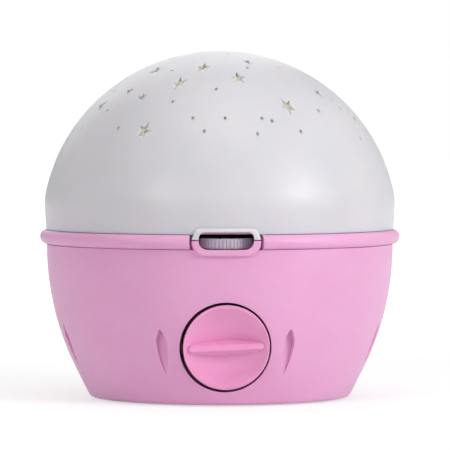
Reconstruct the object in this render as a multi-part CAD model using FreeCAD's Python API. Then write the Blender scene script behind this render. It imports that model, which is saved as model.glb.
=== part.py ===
import FreeCAD, Part
import math
import os

# Star night light projector, in millimetres.
# +Z is up, the front with the dial and the wheel window faces -Y.
# The origin is the centre of the plane that the rubber feet stand on.

V = FreeCAD.Vector
UP = V(0, 0, 1)
ORIGIN = V(0, 0, 0)
FRONT = V(0, -1, 0)

# Driving sizes of the whole object
WALL = 2.4                # wall of dome, bowl and base plate
SEAM_Z = 74.9             # height of the joint between dome and bowl
SEAM_GAP = 0.5            # dark line left between the two shells
FOOT_STAND = 0.6          # how far the feet lift the underside
SLIP = 0.2                # gap between shells that slide together
EDGE_GAP = 0.3            # gap round a loose plate or lid
SCREW_GAP = 0.02          # gap round a screw in its pilot hole

# Bowl
BOWL_R = 79.4             # widest radius, at the seam
BELLY_R = 125.0           # radius of the curved side
BELLY_TOP_Z = SEAM_Z - 4.9# height where the side stands upright
BELLY_SWEEP = 26.5        # degrees of curve before the side runs straight
BASE_CORNER_R = 3.0
LEDGE_UNDER_Z = SEAM_Z - 10.6# inner face turns in here to carry the tongue
LEDGE_Z = SEAM_Z - 6.9
TONGUE_WALL = 1.8
TONGUE_TOP_Z = SEAM_Z + 5.6
FLANGE_IN_R = 44.0        # opening in the underside
FLANGE_THICK = 2.6

# Bead round the seam
BEAD_R = 3.2
BEAD_CENTRE_R = 79.3
BEAD_Z = SEAM_Z - 0.9
GROOVE_R = 77.2           # floor of the groove that holds the bead
BEAD_BACK_GAP = 0.1
BEAD_END_X = 15.6         # half width of the break in the bead at the window

# Dome
DOME_R = 81.7
DOME_CENTRE_Z = SEAM_Z + 2.2
SHOULDER_R = 30.0         # bend between the round dome and its skirt
SKIRT_R = 79.7            # skirt radius just above the bead
SKIRT_LEAN = 3.4          # degrees that the skirt opens upwards
DOME_LAP_WALL = 2.0       # thinner wall behind the bead
DOME_LAP_TOP_Z = SEAM_Z + 4.5
DOME_LAP_BLEND_Z = SEAM_Z + 6.6

# Star holes: azimuth from the front and height angle, in degrees
BIG_STAR_R = 3.7
BIG_STAR_STRETCH = 1.5
MEDIUM_STAR_R = 2.7
MEDIUM_STAR_STRETCH = 1.25
SMALL_STAR_R = 1.15
SMALL_STAR_STRETCH = 1.35
STAR_WAIST = 0.42         # inner radius of a star as a share of its outer one
BIG_STARS = [(-54, 63, 40), (-15, 65, 0), (-25, 55, 20), (9, 58, 0), (29, 44, 25), (-32, 34, -15),
             (73, 38, 10), (112, 44, 15)]
MEDIUM_STARS = [(-42, 48, 10), (24, 70, 30), (-55, 51, 0), (56, 50, 20), (-84, 58, 25), (82, 50, 0)]
SMALL_STARS = [(-8, 34), (-13, 39), (48, 65), (-71, 35), (0, 39), (15, 39), (63, 31), (12, 33),
               (64, 43), (-24, 46), (-45, 35), (-71, 51), (-71, 30), (30, 34), (-4, 52), (45, 42),
               (19, 38), (19, 65), (-38, 63), (64, 47), (14, 80), (-59, 42), (-84, 46),
               (80, 66), (-76, 70), (-88, 28)]

# Window and the frame round it
WINDOW_HALF = 12.3
WINDOW_BOTTOM_Z = SEAM_Z - 4.2
WINDOW_TOP_Z = SEAM_Z + 3.6
WINDOW_LOW_R = 4.0
WINDOW_HIGH_R = 2.9
FRAME_HALF = 15.4
FRAME_TOP_HALF = 13.4
FRAME_BOTTOM_Z = SEAM_Z - 7.1
FRAME_TOP_Z = SEAM_Z + 5.3
FRAME_LOW_R = 6.5
FRAME_HIGH_R = 2.2
FRAME_R = 81.7            # front face of the frame
FRAME_ROUND = 1.2
TONGUE_WINDOW_TOP_Z = SEAM_Z + 2.5

# Thumbwheel
WHEEL_R = 13.0
WHEEL_Y = -65.5
WHEEL_BOTTOM_Z = SEAM_Z - 3.9
WHEEL_THICK = 4.6
WHEEL_RIBS = 48
WHEEL_RIB_DEPTH = 0.45
WHEEL_CLEAR = 0.6
WHEEL_SHAFT_R = 2.0
POT_R = 8.0
POT_THICK = 5.0
BUSH_R = 3.5
BUSH_GAP = 0.1
NUT_FLAT = 10.0
NUT_THICK = 2.0

# Front dial, its well and its rotary switch
DIAL_R = 19.2
DIAL_X = 0.4              # the dial hangs this far off the middle of its well
DIAL_Z = 27.0
DIAL_SIDE_GAP = 1.2       # mean gap between the dial and its well
WELL_R = DIAL_R + DIAL_SIDE_GAP
WELL_WALL = 2.0
WELL_FLOOR_Y = -50.0
WELL_FLOOR = 2.4
DIAL_BACK_GAP = 0.5
DIAL_LEAN = 19.9          # degrees that the dial's rim leans with the bowl
DIAL_FACE_Y = -70.4       # rim plane on the dial's own axis
DIAL_RIM = 0.45
DISH_DEPTH = 6.0
DIAL_SHELL = 2.0
BAR_LENGTH = 33.4
BAR_RIDGE = 2.3           # thickness of the finger bar at its ridge
BAR_FOOT = 8.8            # thickness of the finger bar at its foot
BAR_RIDGE_SINK = 0.2      # ridge behind the rim plane
BAR_DEEP = 7.8            # from the ridge back to the foot
BAR_ROUND = 0.8           # rounding of the ridge
BAR_TILT = 2.5            # degrees that the bar rises to the right
HUB_R = 5.0
DIAL_SHAFT_R = 3.0
SWITCH_R = 12.0
SWITCH_DEPTH = 12.0
SWITCH_BUSH_REACH = 4.0
SHAFT_GAP = 0.05

# Scooped sound vents
VENT_STEP = 52.3          # degrees from one vent to the next
VENT_SIDE_COUNT = 3       # vents on each side of the one at the back
VENT_TOP_Z = 35.3
VENT_WIDE_Z = 29.7
VENT_BOTTOM_Z = 14.5
VENT_HALF = 2.65
VENT_DEPTH = 3.6
VENT_BACK = 1.6           # wall behind the scoops
VENT_LOW_FULL = 0.8        # fullness of the outline half way up its lower part
VENT_HIGH_FULL = 0.66
VENT_FLOOR_R = 12.0       # hollow of a vent's floor

# Light tray and the posts that clamp dome, tray and bowl together
TRAY_TOP_Z = SEAM_Z - 6.9
TRAY_THICK = 2.0
CLAMP_R = 68.5            # pitch radius of the four clamp screws
CLAMP_POST_R = 3.6
CLAMP_ANGLES = (45, 135, 225, 315)
LUG_THICK = 5.0
BOSS_TOP_Z = SEAM_Z + 13.1
RIB_THICK = 3.0
SCREW_R = 1.5
SCREW_CLEAR_R = 1.7
HEAD_R = 2.8
HEAD_THICK = 2.0
CLAMP_SCREW_REACH = 9.0   # thread length inside the dome boss

# Lamp pedestal
PEDESTAL_R = 15.0
PEDESTAL_FOOT_R = 20.0
PEDESTAL_HIGH = 7.0
PEDESTAL_WALL = 2.0
PEDESTAL_SCREW_R = 17.5
PEDESTAL_ANGLES = (30, 150, 270)
LAMP_BOARD_R = 12.0
BOARD_THICK = 1.6
LAMP_R = 2.5
LAMP_PITCH_R = 7.0
LAMP_HIGH = 5.6
SMALL_SCREW_R = 1.25
SMALL_HEAD_R = 2.3
SMALL_HEAD_THICK = 1.6
TRAY_BOSS_HIGH = 6.0

# Speaker under the tray
SPEAKER_Y = 38.0
SPEAKER_R = 25.0
SPEAKER_RIM = 2.0         # flange outside the surround, for the screws
SPEAKER_FLANGE = 1.2
BASKET_TOP_R = 20.5
BASKET_LOW_R = 12.0
BASKET_DEEP = 11.0
BASKET_WALL = 1.0
CONE_THICK = 0.6
CONE_GAP = 0.3
CONE_HIGH = 9.0
CONE_HOLLOW = 6.0         # paper runs in under the dust cap by this much
CAP_R = 6.0
CAP_SINK = 3.0
MAGNET_R = 14.0
MAGNET_THICK = 8.0
SPEAKER_SCREW_R = 22.8
SPEAKER_ANGLES = (45, 135, 225, 315)
GRILLE_HOLE_R = 2.0
GRILLE_PITCH = 6.5

# Base plate, battery box and lid
PLATE_R = 50.1
PLATE_RECESS_R = PLATE_R + EDGE_GAP
BASE_SCREW_PITCH_R = 46.2
BASE_SCREW_ANGLES = (60, 120, 240, 300)
BASE_BOSS_HIGH = 9.0
FOOT_R = 4.5
FOOT_RECESS = 0.9
FOOT_PITCH_R = 44.0
FOOT_ANGLES = (22, 158, 202, 338)
CELL_R = 7.25
CELL_LONG = 49.2
CELL_NUB_R = 2.75
CELL_NUB_LONG = 1.3
CELL_PITCH = 15.2
CELL_COUNT = 3
BOX_Y = 3.0               # middle of the battery box
BOX_HALF_X = 28.5
BOX_WALL = 2.0
CELL_FLOOR_GAP = 0.3
CELL_ROOF_GAP = 0.5
LID_THICK = 2.0
LID_INSET = 0.2
LID_EAR_LONG = 9.0
LID_EAR_HALF = 5.0
LID_TAB_LONG = 2.5
LID_TAB_WIDE = 8.0
LID_TAB_THICK = 1.2
LID_TAB_Y = 13.0
LID_AXIS_INSET = 0.3      # hinge line outside the lid's edge
LID_HINGE_CHAMFER = 0.9   # lets the lid's lower edge swing clear of the plate
PLATE_CONTACT = 0.4
PLATE_CONTACT_HALF = 5.0
SPRING_WIRE_R = 0.3
SPRING_TURNS = 4
SPRING_FOOT_R = 4.2
SPRING_TIP_R = 2.6

# Main board and what stands on it
BOARD_HALF_X = 33.0
BOARD_HALF_Y = 22.0
STANDOFF_HIGH = 4.0
STANDOFF_R = 2.8
STANDOFF_X = 26.0
STANDOFF_Y = 18.0
CHIP_SIZE = (10.0, 6.2, 1.8)
CAPACITOR_R = 3.15
CAPACITOR_HIGH = 7.2
SOCKET_SIZE = (5.0, 4.0, 5.0)
SOCKETS = {"battery": (-30.0, -6.0), "switch": (6.0, -18.0), "wheel": (-12.0, -18.0),
           "lamp": (14.0, 8.0), "speaker": (14.0, 17.0)}

# Leads
LEAD_R = 0.9
LEAD_BEND = 0.45          # share of the shorter run that a bend may use
LEAD_HOLE_R = 2.2
LEAD_HOLE_X = 0.0
LEAD_HOLE_Y = 9.0

# Worked out heights and radii
BASE_Z = FOOT_STAND
PLATE_TOP_Z = BASE_Z + WALL
FLANGE_TOP_Z = PLATE_TOP_Z + FLANGE_THICK
BEAD_GAP = SLIP
SHOULDER_Z = BEAD_Z - BEAD_R - BEAD_GAP
DOME_SHOULDER_Z = BEAD_Z + BEAD_R + BEAD_GAP
BOWL_LIP_Z = SEAM_Z - SEAM_GAP / 2
DOME_LIP_Z = SEAM_Z + SEAM_GAP / 2
DOME_LAP_IN_R = GROOVE_R - DOME_LAP_WALL
TONGUE_OUT_R = DOME_LAP_IN_R - SLIP
TONGUE_IN_R = TONGUE_OUT_R - TONGUE_WALL
TRAY_R = TONGUE_IN_R - EDGE_GAP
TRAY_UNDER_Z = TRAY_TOP_Z - TRAY_THICK
WHEEL_TOP_Z = WHEEL_BOTTOM_Z + WHEEL_THICK
LID_UNDER_Z = BASE_Z + LID_INSET
LID_TOP_Z = LID_UNDER_Z + LID_THICK
CELL_Z = LID_TOP_Z + CELL_FLOOR_GAP + CELL_R
BOX_ROOF_Z = CELL_Z + CELL_R + CELL_ROOF_GAP
BOX_TOP_Z = BOX_ROOF_Z + BOX_WALL
BOX_HALF_Y = CELL_COUNT * CELL_PITCH / 2 + 0.2
BOARD_Z = BOX_TOP_Z + STANDOFF_HIGH
BOARD_TOP_Z = BOARD_Z + BOARD_THICK
PEDESTAL_TOP_Z = TRAY_TOP_Z + PEDESTAL_HIGH
LAMP_Z = PEDESTAL_TOP_Z + BOARD_THICK
FAR = 200.0


def section(x, z):
    """Point of a profile drawn in the XZ plane."""
    return V(x, 0, z)


def line(a, b):
    return Part.LineSegment(a, b).toShape()


def arc(a, mid, b):
    return Part.Arc(a, mid, b).toShape()


def turned(edges, degrees=360.0, start=0.0):
    """Solid of revolution about Z of a closed profile in the XZ plane."""
    face = Part.Face(Part.Wire(edges))
    face.rotate(ORIGIN, UP, start)
    return face.revolve(ORIGIN, UP, degrees)


def polygon_edges(points):
    return [line(points[i], points[(i + 1) % len(points)]) for i in range(len(points))]


def ring(r_in, r_out, z_low, z_high):
    """Flat ring with upright walls about Z."""
    disc = Part.makeCylinder(r_out, z_high - z_low, V(0, 0, z_low))
    return disc.cut(Part.makeCylinder(r_in, z_high - z_low, V(0, 0, z_low)))


def block(x0, x1, y0, y1, z0, z1):
    return Part.makeBox(x1 - x0, y1 - y0, z1 - z0, V(x0, y0, z0))


def upright(radius, x, y, z0, z1):
    return Part.makeCylinder(radius, z1 - z0, V(x, y, z0))


def forward(radius, x, z, y_back, y_front):
    """Cylinder that runs from y_back towards the front."""
    return Part.makeCylinder(radius, y_back - y_front, V(x, y_back, z), FRONT)


def polar(radius, degrees):
    """Point at a pitch radius, with 0 degrees along +X."""
    a = math.radians(degrees)
    return radius * math.cos(a), radius * math.sin(a)


def joined(first, others):
    return first.multiFuse(list(others)).removeSplitter()


def hexagon(flat, z0, z1):
    """Hexagonal prism about Z, flat is the width across its flats."""
    r = flat / math.sqrt(3)
    corners = [V(*polar(r, 60 * i), z0) for i in range(6)]
    face = Part.Face(Part.Wire(polygon_edges(corners)))
    return face.extrude(V(0, 0, z1 - z0))


def export(shape, name):
    """Write one node as a STEP file."""
    solids = shape.Solids
    body = solids[0] if len(solids) == 1 else Part.makeCompound(solids)
    body.exportStep(os.path.join("parts", name + ".step"))
    box = body.BoundBox
    print(name, len(solids), body.isValid(), round(body.Volume, 1),
          [round(v, 2) for v in (box.XMin, box.XMax, box.YMin, box.YMax, box.ZMin, box.ZMax)])


def belly_radius(z, inset=0.0):
    """Radius of the bowl's side at a height, moved in by inset."""
    r = BELLY_R - inset
    sweep = math.radians(BELLY_SWEEP)
    low_z = BELLY_TOP_Z - r * math.sin(sweep)
    middle = BOWL_R - BELLY_R
    if z >= BELLY_TOP_Z:
        return middle + r
    if z >= low_z:
        return middle + math.sqrt(r * r - (BELLY_TOP_Z - z) ** 2)
    return middle + r * math.cos(sweep) - (low_z - z) * math.tan(sweep)


def belly_bend_z(inset=0.0):
    """Height where the curved side turns into the straight cone."""
    return BELLY_TOP_Z - (BELLY_R - inset) * math.sin(math.radians(BELLY_SWEEP))


def belly_edges(z_low, z_high, inset=0.0):
    """Profile of the bowl's side from z_low up to z_high."""
    bend = belly_bend_z(inset)
    mid = (bend + z_high) / 2
    low = section(belly_radius(z_low, inset), z_low)
    turn = section(belly_radius(bend, inset), bend)
    through = section(belly_radius(mid, inset), mid)
    high = section(belly_radius(z_high, inset), z_high)
    return [line(low, turn), arc(turn, through, high)]


def filled_bowl(inset, z_low, z_high):
    """Solid that fills the bowl's side moved in by inset, for trimming ribs and posts."""
    edges = belly_edges(z_low, z_high, inset)
    high = section(belly_radius(z_high, inset), z_high)
    low = section(belly_radius(z_low, inset), z_low)
    edges += [line(high, section(0, z_high)), line(section(0, z_high), section(0, z_low)),
              line(section(0, z_low), low)]
    return turned(edges)


def bowl_wall():
    """Turned wall of the bowl with its groove, tongue and bottom flange."""
    edges = belly_edges(BASE_Z, BELLY_TOP_Z)
    path = [section(BOWL_R, BELLY_TOP_Z), section(BOWL_R, SHOULDER_Z), section(GROOVE_R, SHOULDER_Z),
            section(GROOVE_R, BOWL_LIP_Z), section(TONGUE_OUT_R, BOWL_LIP_Z),
            section(TONGUE_OUT_R, TONGUE_TOP_Z), section(TONGUE_IN_R, TONGUE_TOP_Z),
            section(TONGUE_IN_R, LEDGE_Z), section(belly_radius(LEDGE_UNDER_Z, WALL), LEDGE_UNDER_Z)]
    edges += [line(path[i], path[i + 1]) for i in range(len(path) - 1)]
    edges += belly_edges(FLANGE_TOP_Z, LEDGE_UNDER_Z, WALL)
    foot = [section(belly_radius(FLANGE_TOP_Z, WALL), FLANGE_TOP_Z), section(FLANGE_IN_R, FLANGE_TOP_Z),
            section(FLANGE_IN_R, PLATE_TOP_Z), section(PLATE_RECESS_R, PLATE_TOP_Z),
            section(PLATE_RECESS_R, BASE_Z), section(belly_radius(BASE_Z), BASE_Z)]
    edges += [line(foot[i], foot[i + 1]) for i in range(len(foot) - 1)]
    wall = turned(Part.__sortEdges__(edges))
    corner = [e for e in wall.Edges if abs(e.BoundBox.ZMax - BASE_Z) < 1e-4
              and e.BoundBox.XMax > PLATE_RECESS_R + 1]
    return wall.makeFillet(BASE_CORNER_R, corner)


def rounded_outline(points, y):
    """Closed outline in a plane of constant y, each point given as (x, z, corner radius)."""
    edges = []
    ends = []
    count = len(points)
    for i in range(count):
        x, z, r = points[i]
        here = V(x, y, z)
        back = V(points[i - 1][0], y, points[i - 1][1]) - here
        ahead = V(points[(i + 1) % count][0], y, points[(i + 1) % count][1]) - here
        back.normalize()
        ahead.normalize()
        if r == 0:
            ends.append((here, here))
            continue
        half = back.getAngle(ahead) / 2
        reach = r / math.tan(half)
        middle = back + ahead
        middle.normalize()
        centre = here + middle * (r / math.sin(half))
        start = here + back * reach
        end = here + ahead * reach
        edges.append(arc(start, centre - middle * r, end))
        ends.append((start, end))
    for i in range(count):
        edges.append(line(ends[i - 1][1], ends[i][0]))
    return Part.Wire(Part.__sortEdges__(edges))


def window_cutter(top_z, top_round):
    """Prism that cuts the wheel window through the front wall."""
    outline = rounded_outline([(-WINDOW_HALF, WINDOW_BOTTOM_Z, WINDOW_LOW_R),
                               (WINDOW_HALF, WINDOW_BOTTOM_Z, WINDOW_LOW_R),
                               (WINDOW_HALF, top_z, top_round), (-WINDOW_HALF, top_z, top_round)], -FAR)
    return Part.Face(outline).extrude(V(0, FAR + WHEEL_Y, 0))


def wheel_space():
    """Room that the wheel turns in, cut from the walls behind the window frame."""
    return upright(WHEEL_R + WHEEL_CLEAR, 0, WHEEL_Y, WINDOW_BOTTOM_Z - WHEEL_CLEAR / 2,
                   WHEEL_TOP_Z + WHEEL_CLEAR)


def frame_half(outline_points, z_low, z_high):
    """Raised frame on one side of the seam, its outer edges rounded."""
    prism = Part.Face(rounded_outline(outline_points, -FAR)).extrude(V(0, FAR, 0))
    body = prism.common(ring(TONGUE_OUT_R + SLIP, FRAME_R, z_low, z_high))
    front = [e for e in body.Edges if is_frame_rim(e, z_low)]
    return body.makeFillet(FRAME_ROUND, front)


def is_frame_rim(edge, z_low):
    """True for an outer edge of the frame's front face, apart from its edge on the seam."""
    box = edge.BoundBox
    on_front = all(abs(math.hypot(p.x, p.y) - FRAME_R) < 1e-3 for p in edge.discretize(5))
    seam = BOWL_LIP_Z if z_low < BOWL_LIP_Z else DOME_LIP_Z
    on_seam = abs(box.ZMin - seam) < 1e-3 and abs(box.ZMax - seam) < 1e-3
    return on_front and not on_seam


def lower_frame():
    points = [(-FRAME_HALF, FRAME_BOTTOM_Z, FRAME_LOW_R), (FRAME_HALF, FRAME_BOTTOM_Z, FRAME_LOW_R),
              (FRAME_HALF, BOWL_LIP_Z, 0), (-FRAME_HALF, BOWL_LIP_Z, 0)]
    return frame_half(points, FRAME_BOTTOM_Z, BOWL_LIP_Z)


def upper_frame():
    points = [(-FRAME_HALF, DOME_LIP_Z, 0), (FRAME_HALF, DOME_LIP_Z, 0),
              (FRAME_TOP_HALF, FRAME_TOP_Z, FRAME_HIGH_R), (-FRAME_TOP_HALF, FRAME_TOP_Z, FRAME_HIGH_R)]
    return frame_half(points, DOME_LIP_Z, FRAME_TOP_Z)


def vent_cutter(degrees):
    """One scoop: an ogive outline cut to a floor that slopes in towards its top."""
    mid_low = (VENT_WIDE_Z + VENT_BOTTOM_Z) / 2
    mid_high = (VENT_TOP_Z + VENT_WIDE_Z) / 2
    top = V(0, -FAR, VENT_TOP_Z)
    bottom = V(0, -FAR, VENT_BOTTOM_Z)
    edges = []
    for side in (1, -1):
        wide = V(side * VENT_HALF, -FAR, VENT_WIDE_Z)
        edges.append(arc(bottom, V(side * VENT_HALF * VENT_LOW_FULL, -FAR, mid_low), wide))
        edges.append(arc(wide, V(side * VENT_HALF * VENT_HIGH_FULL, -FAR, mid_high), top))
    prism = Part.Face(Part.Wire(Part.__sortEdges__(edges))).extrude(V(0, FAR, 0))
    start = V(0, -belly_radius(VENT_BOTTOM_Z), VENT_BOTTOM_Z)
    end = V(0, -belly_radius(VENT_TOP_Z) + VENT_DEPTH, VENT_TOP_Z)
    slope = end - start
    reach = 2 * slope.Length
    slope.normalize()
    outward = V(1, 0, 0).cross(slope)
    axis = start + outward * VENT_FLOOR_R
    gouge = Part.makeCylinder(VENT_FLOOR_R, 2 * reach, axis - slope * reach, slope)
    cutter = prism.common(gouge)
    cutter.rotate(ORIGIN, UP, degrees)
    return cutter


def vent_pad(degrees):
    """Thickening behind one scoop, so that the scoop stays closed."""
    back = belly_radius(VENT_BOTTOM_Z) - VENT_BACK
    pad = block(-VENT_HALF - VENT_BACK, VENT_HALF + VENT_BACK, -BOWL_R, -back, VENT_BOTTOM_Z,
                VENT_TOP_Z + VENT_BACK)
    pad.rotate(ORIGIN, UP, degrees)
    return pad


def vent_angles():
    """Turn of each vent from the front: one at the back and pairs on both sides."""
    angles = [180.0]
    for i in range(1, VENT_SIDE_COUNT + 1):
        angles += [180.0 - VENT_STEP * i, 180.0 + VENT_STEP * i]
    return angles


def clamp_lug(degrees):
    """Lug inside the bowl that a clamp screw passes up through."""
    x, y = polar(CLAMP_R, degrees)
    low = TRAY_UNDER_Z - LUG_THICK
    post = upright(CLAMP_POST_R, x, y, low, TRAY_UNDER_Z)
    rib = block(CLAMP_R, BOWL_R, -RIB_THICK / 2, RIB_THICK / 2, low - LUG_THICK, TRAY_UNDER_Z)
    rib = rib.cut(block(0, CLAMP_R + HEAD_R + 1, -FAR, FAR, 0, low))
    rib.rotate(ORIGIN, UP, degrees)
    return post.fuse(rib)


def clamp_boss(degrees):
    """Boss that hangs inside the dome and takes a clamp screw."""
    x, y = polar(CLAMP_R, degrees)
    post = upright(CLAMP_POST_R, x, y, TRAY_TOP_Z, BOSS_TOP_Z)
    rib = block(CLAMP_R, DOME_R, -RIB_THICK / 2, RIB_THICK / 2, DOME_LAP_BLEND_Z, BOSS_TOP_Z)
    rib.rotate(ORIGIN, UP, degrees)
    hole = upright(SCREW_R + SCREW_GAP, x, y, TRAY_TOP_Z, TRAY_TOP_Z + CLAMP_SCREW_REACH + 1)
    return post.fuse(rib), hole


def dial_well():
    """Round cup behind the dial, open to the front."""
    cup = forward(WELL_R + WELL_WALL, 0, DIAL_Z, WELL_FLOOR_Y + WELL_FLOOR, -BOWL_R)
    return cup.common(filled_bowl(WALL / 2, BASE_Z + 1, BELLY_TOP_Z))


def base_bowl():
    lugs = [clamp_lug(a) for a in CLAMP_ANGLES]
    trim = filled_bowl(WALL / 2, BASE_Z + 1, BELLY_TOP_Z)
    bosses = []
    for a in BASE_SCREW_ANGLES:
        x, y = polar(BASE_SCREW_PITCH_R, a)
        bosses.append(upright(CLAMP_POST_R, x, y, PLATE_TOP_Z, FLANGE_TOP_Z + BASE_BOSS_HIGH))
    inner = lugs + [vent_pad(a) for a in vent_angles()]
    body = joined(bowl_wall(), [dial_well(), lower_frame()] + [g.common(trim) for g in inner] + bosses)
    cuts = [forward(WELL_R, 0, DIAL_Z, WELL_FLOOR_Y, -FAR),
            forward(BUSH_R + BUSH_GAP, DIAL_X, DIAL_Z, WELL_FLOOR_Y + WELL_FLOOR + 1, -FAR),
            window_cutter(TONGUE_WINDOW_TOP_Z, 1.0), wheel_space()]
    cuts += [vent_cutter(a) for a in vent_angles()]
    for a in CLAMP_ANGLES:
        x, y = polar(CLAMP_R, a)
        cuts.append(upright(SCREW_CLEAR_R, x, y, TRAY_UNDER_Z - 2 * LUG_THICK, TRAY_UNDER_Z + 1))
    for a in BASE_SCREW_ANGLES:
        x, y = polar(BASE_SCREW_PITCH_R, a)
        cuts.append(upright(SCREW_R + SCREW_GAP, x, y, 0, FLANGE_TOP_Z + BASE_BOSS_HIGH - 1))
    return body.cut(Part.makeCompound(cuts))


def rim_band():
    """Bead that fills the groove, broken at the window frame."""
    back = GROOVE_R + BEAD_BACK_GAP
    half = math.sqrt(BEAD_R ** 2 - (BEAD_CENTRE_R - back) ** 2)
    low = section(back, BEAD_Z - half)
    high = section(back, BEAD_Z + half)
    outer = section(BEAD_CENTRE_R + BEAD_R, BEAD_Z)
    gap = math.degrees(math.asin(BEAD_END_X / back))
    return turned([arc(low, outer, high), line(high, low)], 360 - 2 * gap, gap - 90)


def dome_edges(inset):
    """Profile of the dome from its top to its skirt, moved in by inset: edges and skirt radius by height."""
    lean = math.radians(SKIRT_LEAN)
    normal = V(math.cos(lean), 0, -math.sin(lean))
    along = V(math.sin(lean), 0, math.cos(lean))
    middle = section(0, DOME_CENTRE_Z)
    skirt = section(SKIRT_R, DOME_SHOULDER_Z) - normal * inset
    bend = SHOULDER_R - inset
    round_r = DOME_R - inset
    w = skirt - normal * bend - middle
    reach = -w.dot(along) + math.sqrt(w.dot(along) ** 2 - w.dot(w) + (round_r - bend) ** 2)
    centre = skirt - normal * bend + along * reach
    out = centre - middle
    out.normalize()
    high = middle + out * round_r
    low = centre + normal * bend
    half = normal + out
    half.normalize()
    top = section(0, DOME_CENTRE_Z + round_r)
    upper = V(out.x, 0, out.z + 1)
    upper.normalize()
    edges = [arc(top, middle + upper * round_r, high), arc(high, centre + half * bend, low)]
    return edges, top, low


def skirt_point(z, inset):
    """Point of the straight skirt at a height."""
    lean = math.radians(SKIRT_LEAN)
    return section(SKIRT_R - inset / math.cos(lean) + (z - DOME_SHOULDER_Z) * math.tan(lean), z)


def filled_dome(inset, z_low):
    edges, top, low = dome_edges(inset)
    foot = skirt_point(z_low, inset)
    edges += [line(low, foot), line(foot, section(0, z_low)), line(section(0, z_low), top)]
    return turned(edges)


def dome_wall():
    outer, outer_top, outer_low = dome_edges(0)
    inner, inner_top, inner_low = dome_edges(WALL)
    path = [outer_low, section(SKIRT_R, DOME_SHOULDER_Z), section(GROOVE_R, DOME_SHOULDER_Z),
            section(GROOVE_R, DOME_LIP_Z), section(DOME_LAP_IN_R, DOME_LIP_Z),
            section(DOME_LAP_IN_R, DOME_LAP_TOP_Z), skirt_point(DOME_LAP_BLEND_Z, WALL), inner_low]
    edges = outer + inner + [line(path[i], path[i + 1]) for i in range(len(path) - 1)]
    edges.append(line(inner_top, outer_top))
    return turned(Part.__sortEdges__(edges))


def star_prism(azimuth, height, radius, stretch, twist):
    """Five-pointed prism that runs outwards along a radius of the dome."""
    corners = []
    for i in range(10):
        r = radius if i % 2 == 0 else radius * STAR_WAIST
        a = math.radians(90 + twist + 36 * i)
        corners.append(V(r * math.cos(a), 0, r * math.sin(a) * stretch))
    prism = Part.Face(Part.Wire(polygon_edges(corners))).extrude(V(0, -3 * WALL, 0))
    prism.translate(V(0, -DOME_R + 2 * WALL, 0))
    prism.rotate(ORIGIN, V(1, 0, 0), -height)
    prism.rotate(ORIGIN, UP, azimuth)
    prism.translate(V(0, 0, DOME_CENTRE_Z))
    return prism


def star_prisms():
    """The stars of the front half, and the same ones turned half way round for the back."""
    prisms = []
    for turn in (0, 180):
        for azimuth, height, twist in BIG_STARS:
            prisms.append(star_prism(azimuth + turn, height, BIG_STAR_R, BIG_STAR_STRETCH, twist))
        for azimuth, height, twist in MEDIUM_STARS:
            prisms.append(star_prism(azimuth + turn, height, MEDIUM_STAR_R, MEDIUM_STAR_STRETCH, twist))
        for azimuth, height in SMALL_STARS:
            twist = azimuth + height
            prisms.append(star_prism(azimuth + turn, height, SMALL_STAR_R, SMALL_STAR_STRETCH, twist))
    return prisms


def dome_shell():
    trim = filled_dome(WALL / 2, TRAY_TOP_Z)
    bosses = [clamp_boss(a) for a in CLAMP_ANGLES]
    body = joined(dome_wall(), [upper_frame()] + [b.common(trim) for b, hole in bosses])
    cuts = [window_cutter(WINDOW_TOP_Z, WINDOW_HIGH_R), wheel_space()] + [hole for b, hole in bosses]
    return body.cut(Part.makeCompound(cuts)).cut(Part.makeCompound(star_prisms()))


def wheel():
    """Ribbed thumbwheel about its own axis."""
    high = WHEEL_THICK
    edge = 0.5
    blank = Part.makeCylinder(WHEEL_R, high)
    blank = blank.makeChamfer(edge, [e for e in blank.Edges if e.Length > WHEEL_R * 6])
    grooves = []
    for i in range(WHEEL_RIBS):
        x, y = polar(WHEEL_R, 360.0 * i / WHEEL_RIBS)
        grooves.append(upright(WHEEL_RIB_DEPTH, x, y, -1, high + 1))
    body = blank.cut(Part.makeCompound(grooves))
    body = body.cut(Part.makeCylinder(WHEEL_SHAFT_R, high + 2, V(0, 0, -1)))
    body.translate(V(0, WHEEL_Y, WHEEL_BOTTOM_Z))
    return body


def wheel_shaft():
    return upright(WHEEL_SHAFT_R, 0, WHEEL_Y, TRAY_UNDER_Z - POT_THICK + 1, WHEEL_TOP_Z)


def wheel_pot():
    """Potentiometer under the tray, its bushing up through the tray."""
    body = upright(POT_R, 0, WHEEL_Y, TRAY_UNDER_Z - POT_THICK, TRAY_UNDER_Z)
    bush = upright(BUSH_R, 0, WHEEL_Y, TRAY_UNDER_Z, TRAY_TOP_Z + NUT_THICK + 0.4)
    bore = upright(WHEEL_SHAFT_R + SHAFT_GAP, 0, WHEEL_Y, TRAY_UNDER_Z - POT_THICK + 1 - EDGE_GAP, FAR)
    return body.fuse(bush).cut(bore).removeSplitter()


def pot_nut():
    nut = hexagon(NUT_FLAT, TRAY_TOP_Z, TRAY_TOP_Z + NUT_THICK)
    nut = nut.cut(upright(BUSH_R, 0, 0, 0, FAR))
    nut.translate(V(0, WHEEL_Y, 0))
    return nut


def dial_frame(shape):
    """Lean a shape drawn about the dial's axis so that it follows the dial's rim plane."""
    shape.rotate(V(DIAL_X, DIAL_FACE_Y, DIAL_Z), V(1, 0, 0), DIAL_LEAN)
    return shape


def front_half_space(y_back, y_front, half):
    """Block in front of the dial's rim plane."""
    return dial_frame(block(DIAL_X - half, DIAL_X + half, y_front, y_back, DIAL_Z - half, DIAL_Z + half))


def dish_ball(inset):
    """Ball that hollows the dial's face, moved back by inset."""
    half = DIAL_R - DIAL_RIM
    ball_r = (half ** 2 + DISH_DEPTH ** 2) / (2 * DISH_DEPTH)
    ball = Part.makeSphere(ball_r + inset, V(DIAL_X, DIAL_FACE_Y + DISH_DEPTH - ball_r, DIAL_Z))
    return dial_frame(ball)


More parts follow.
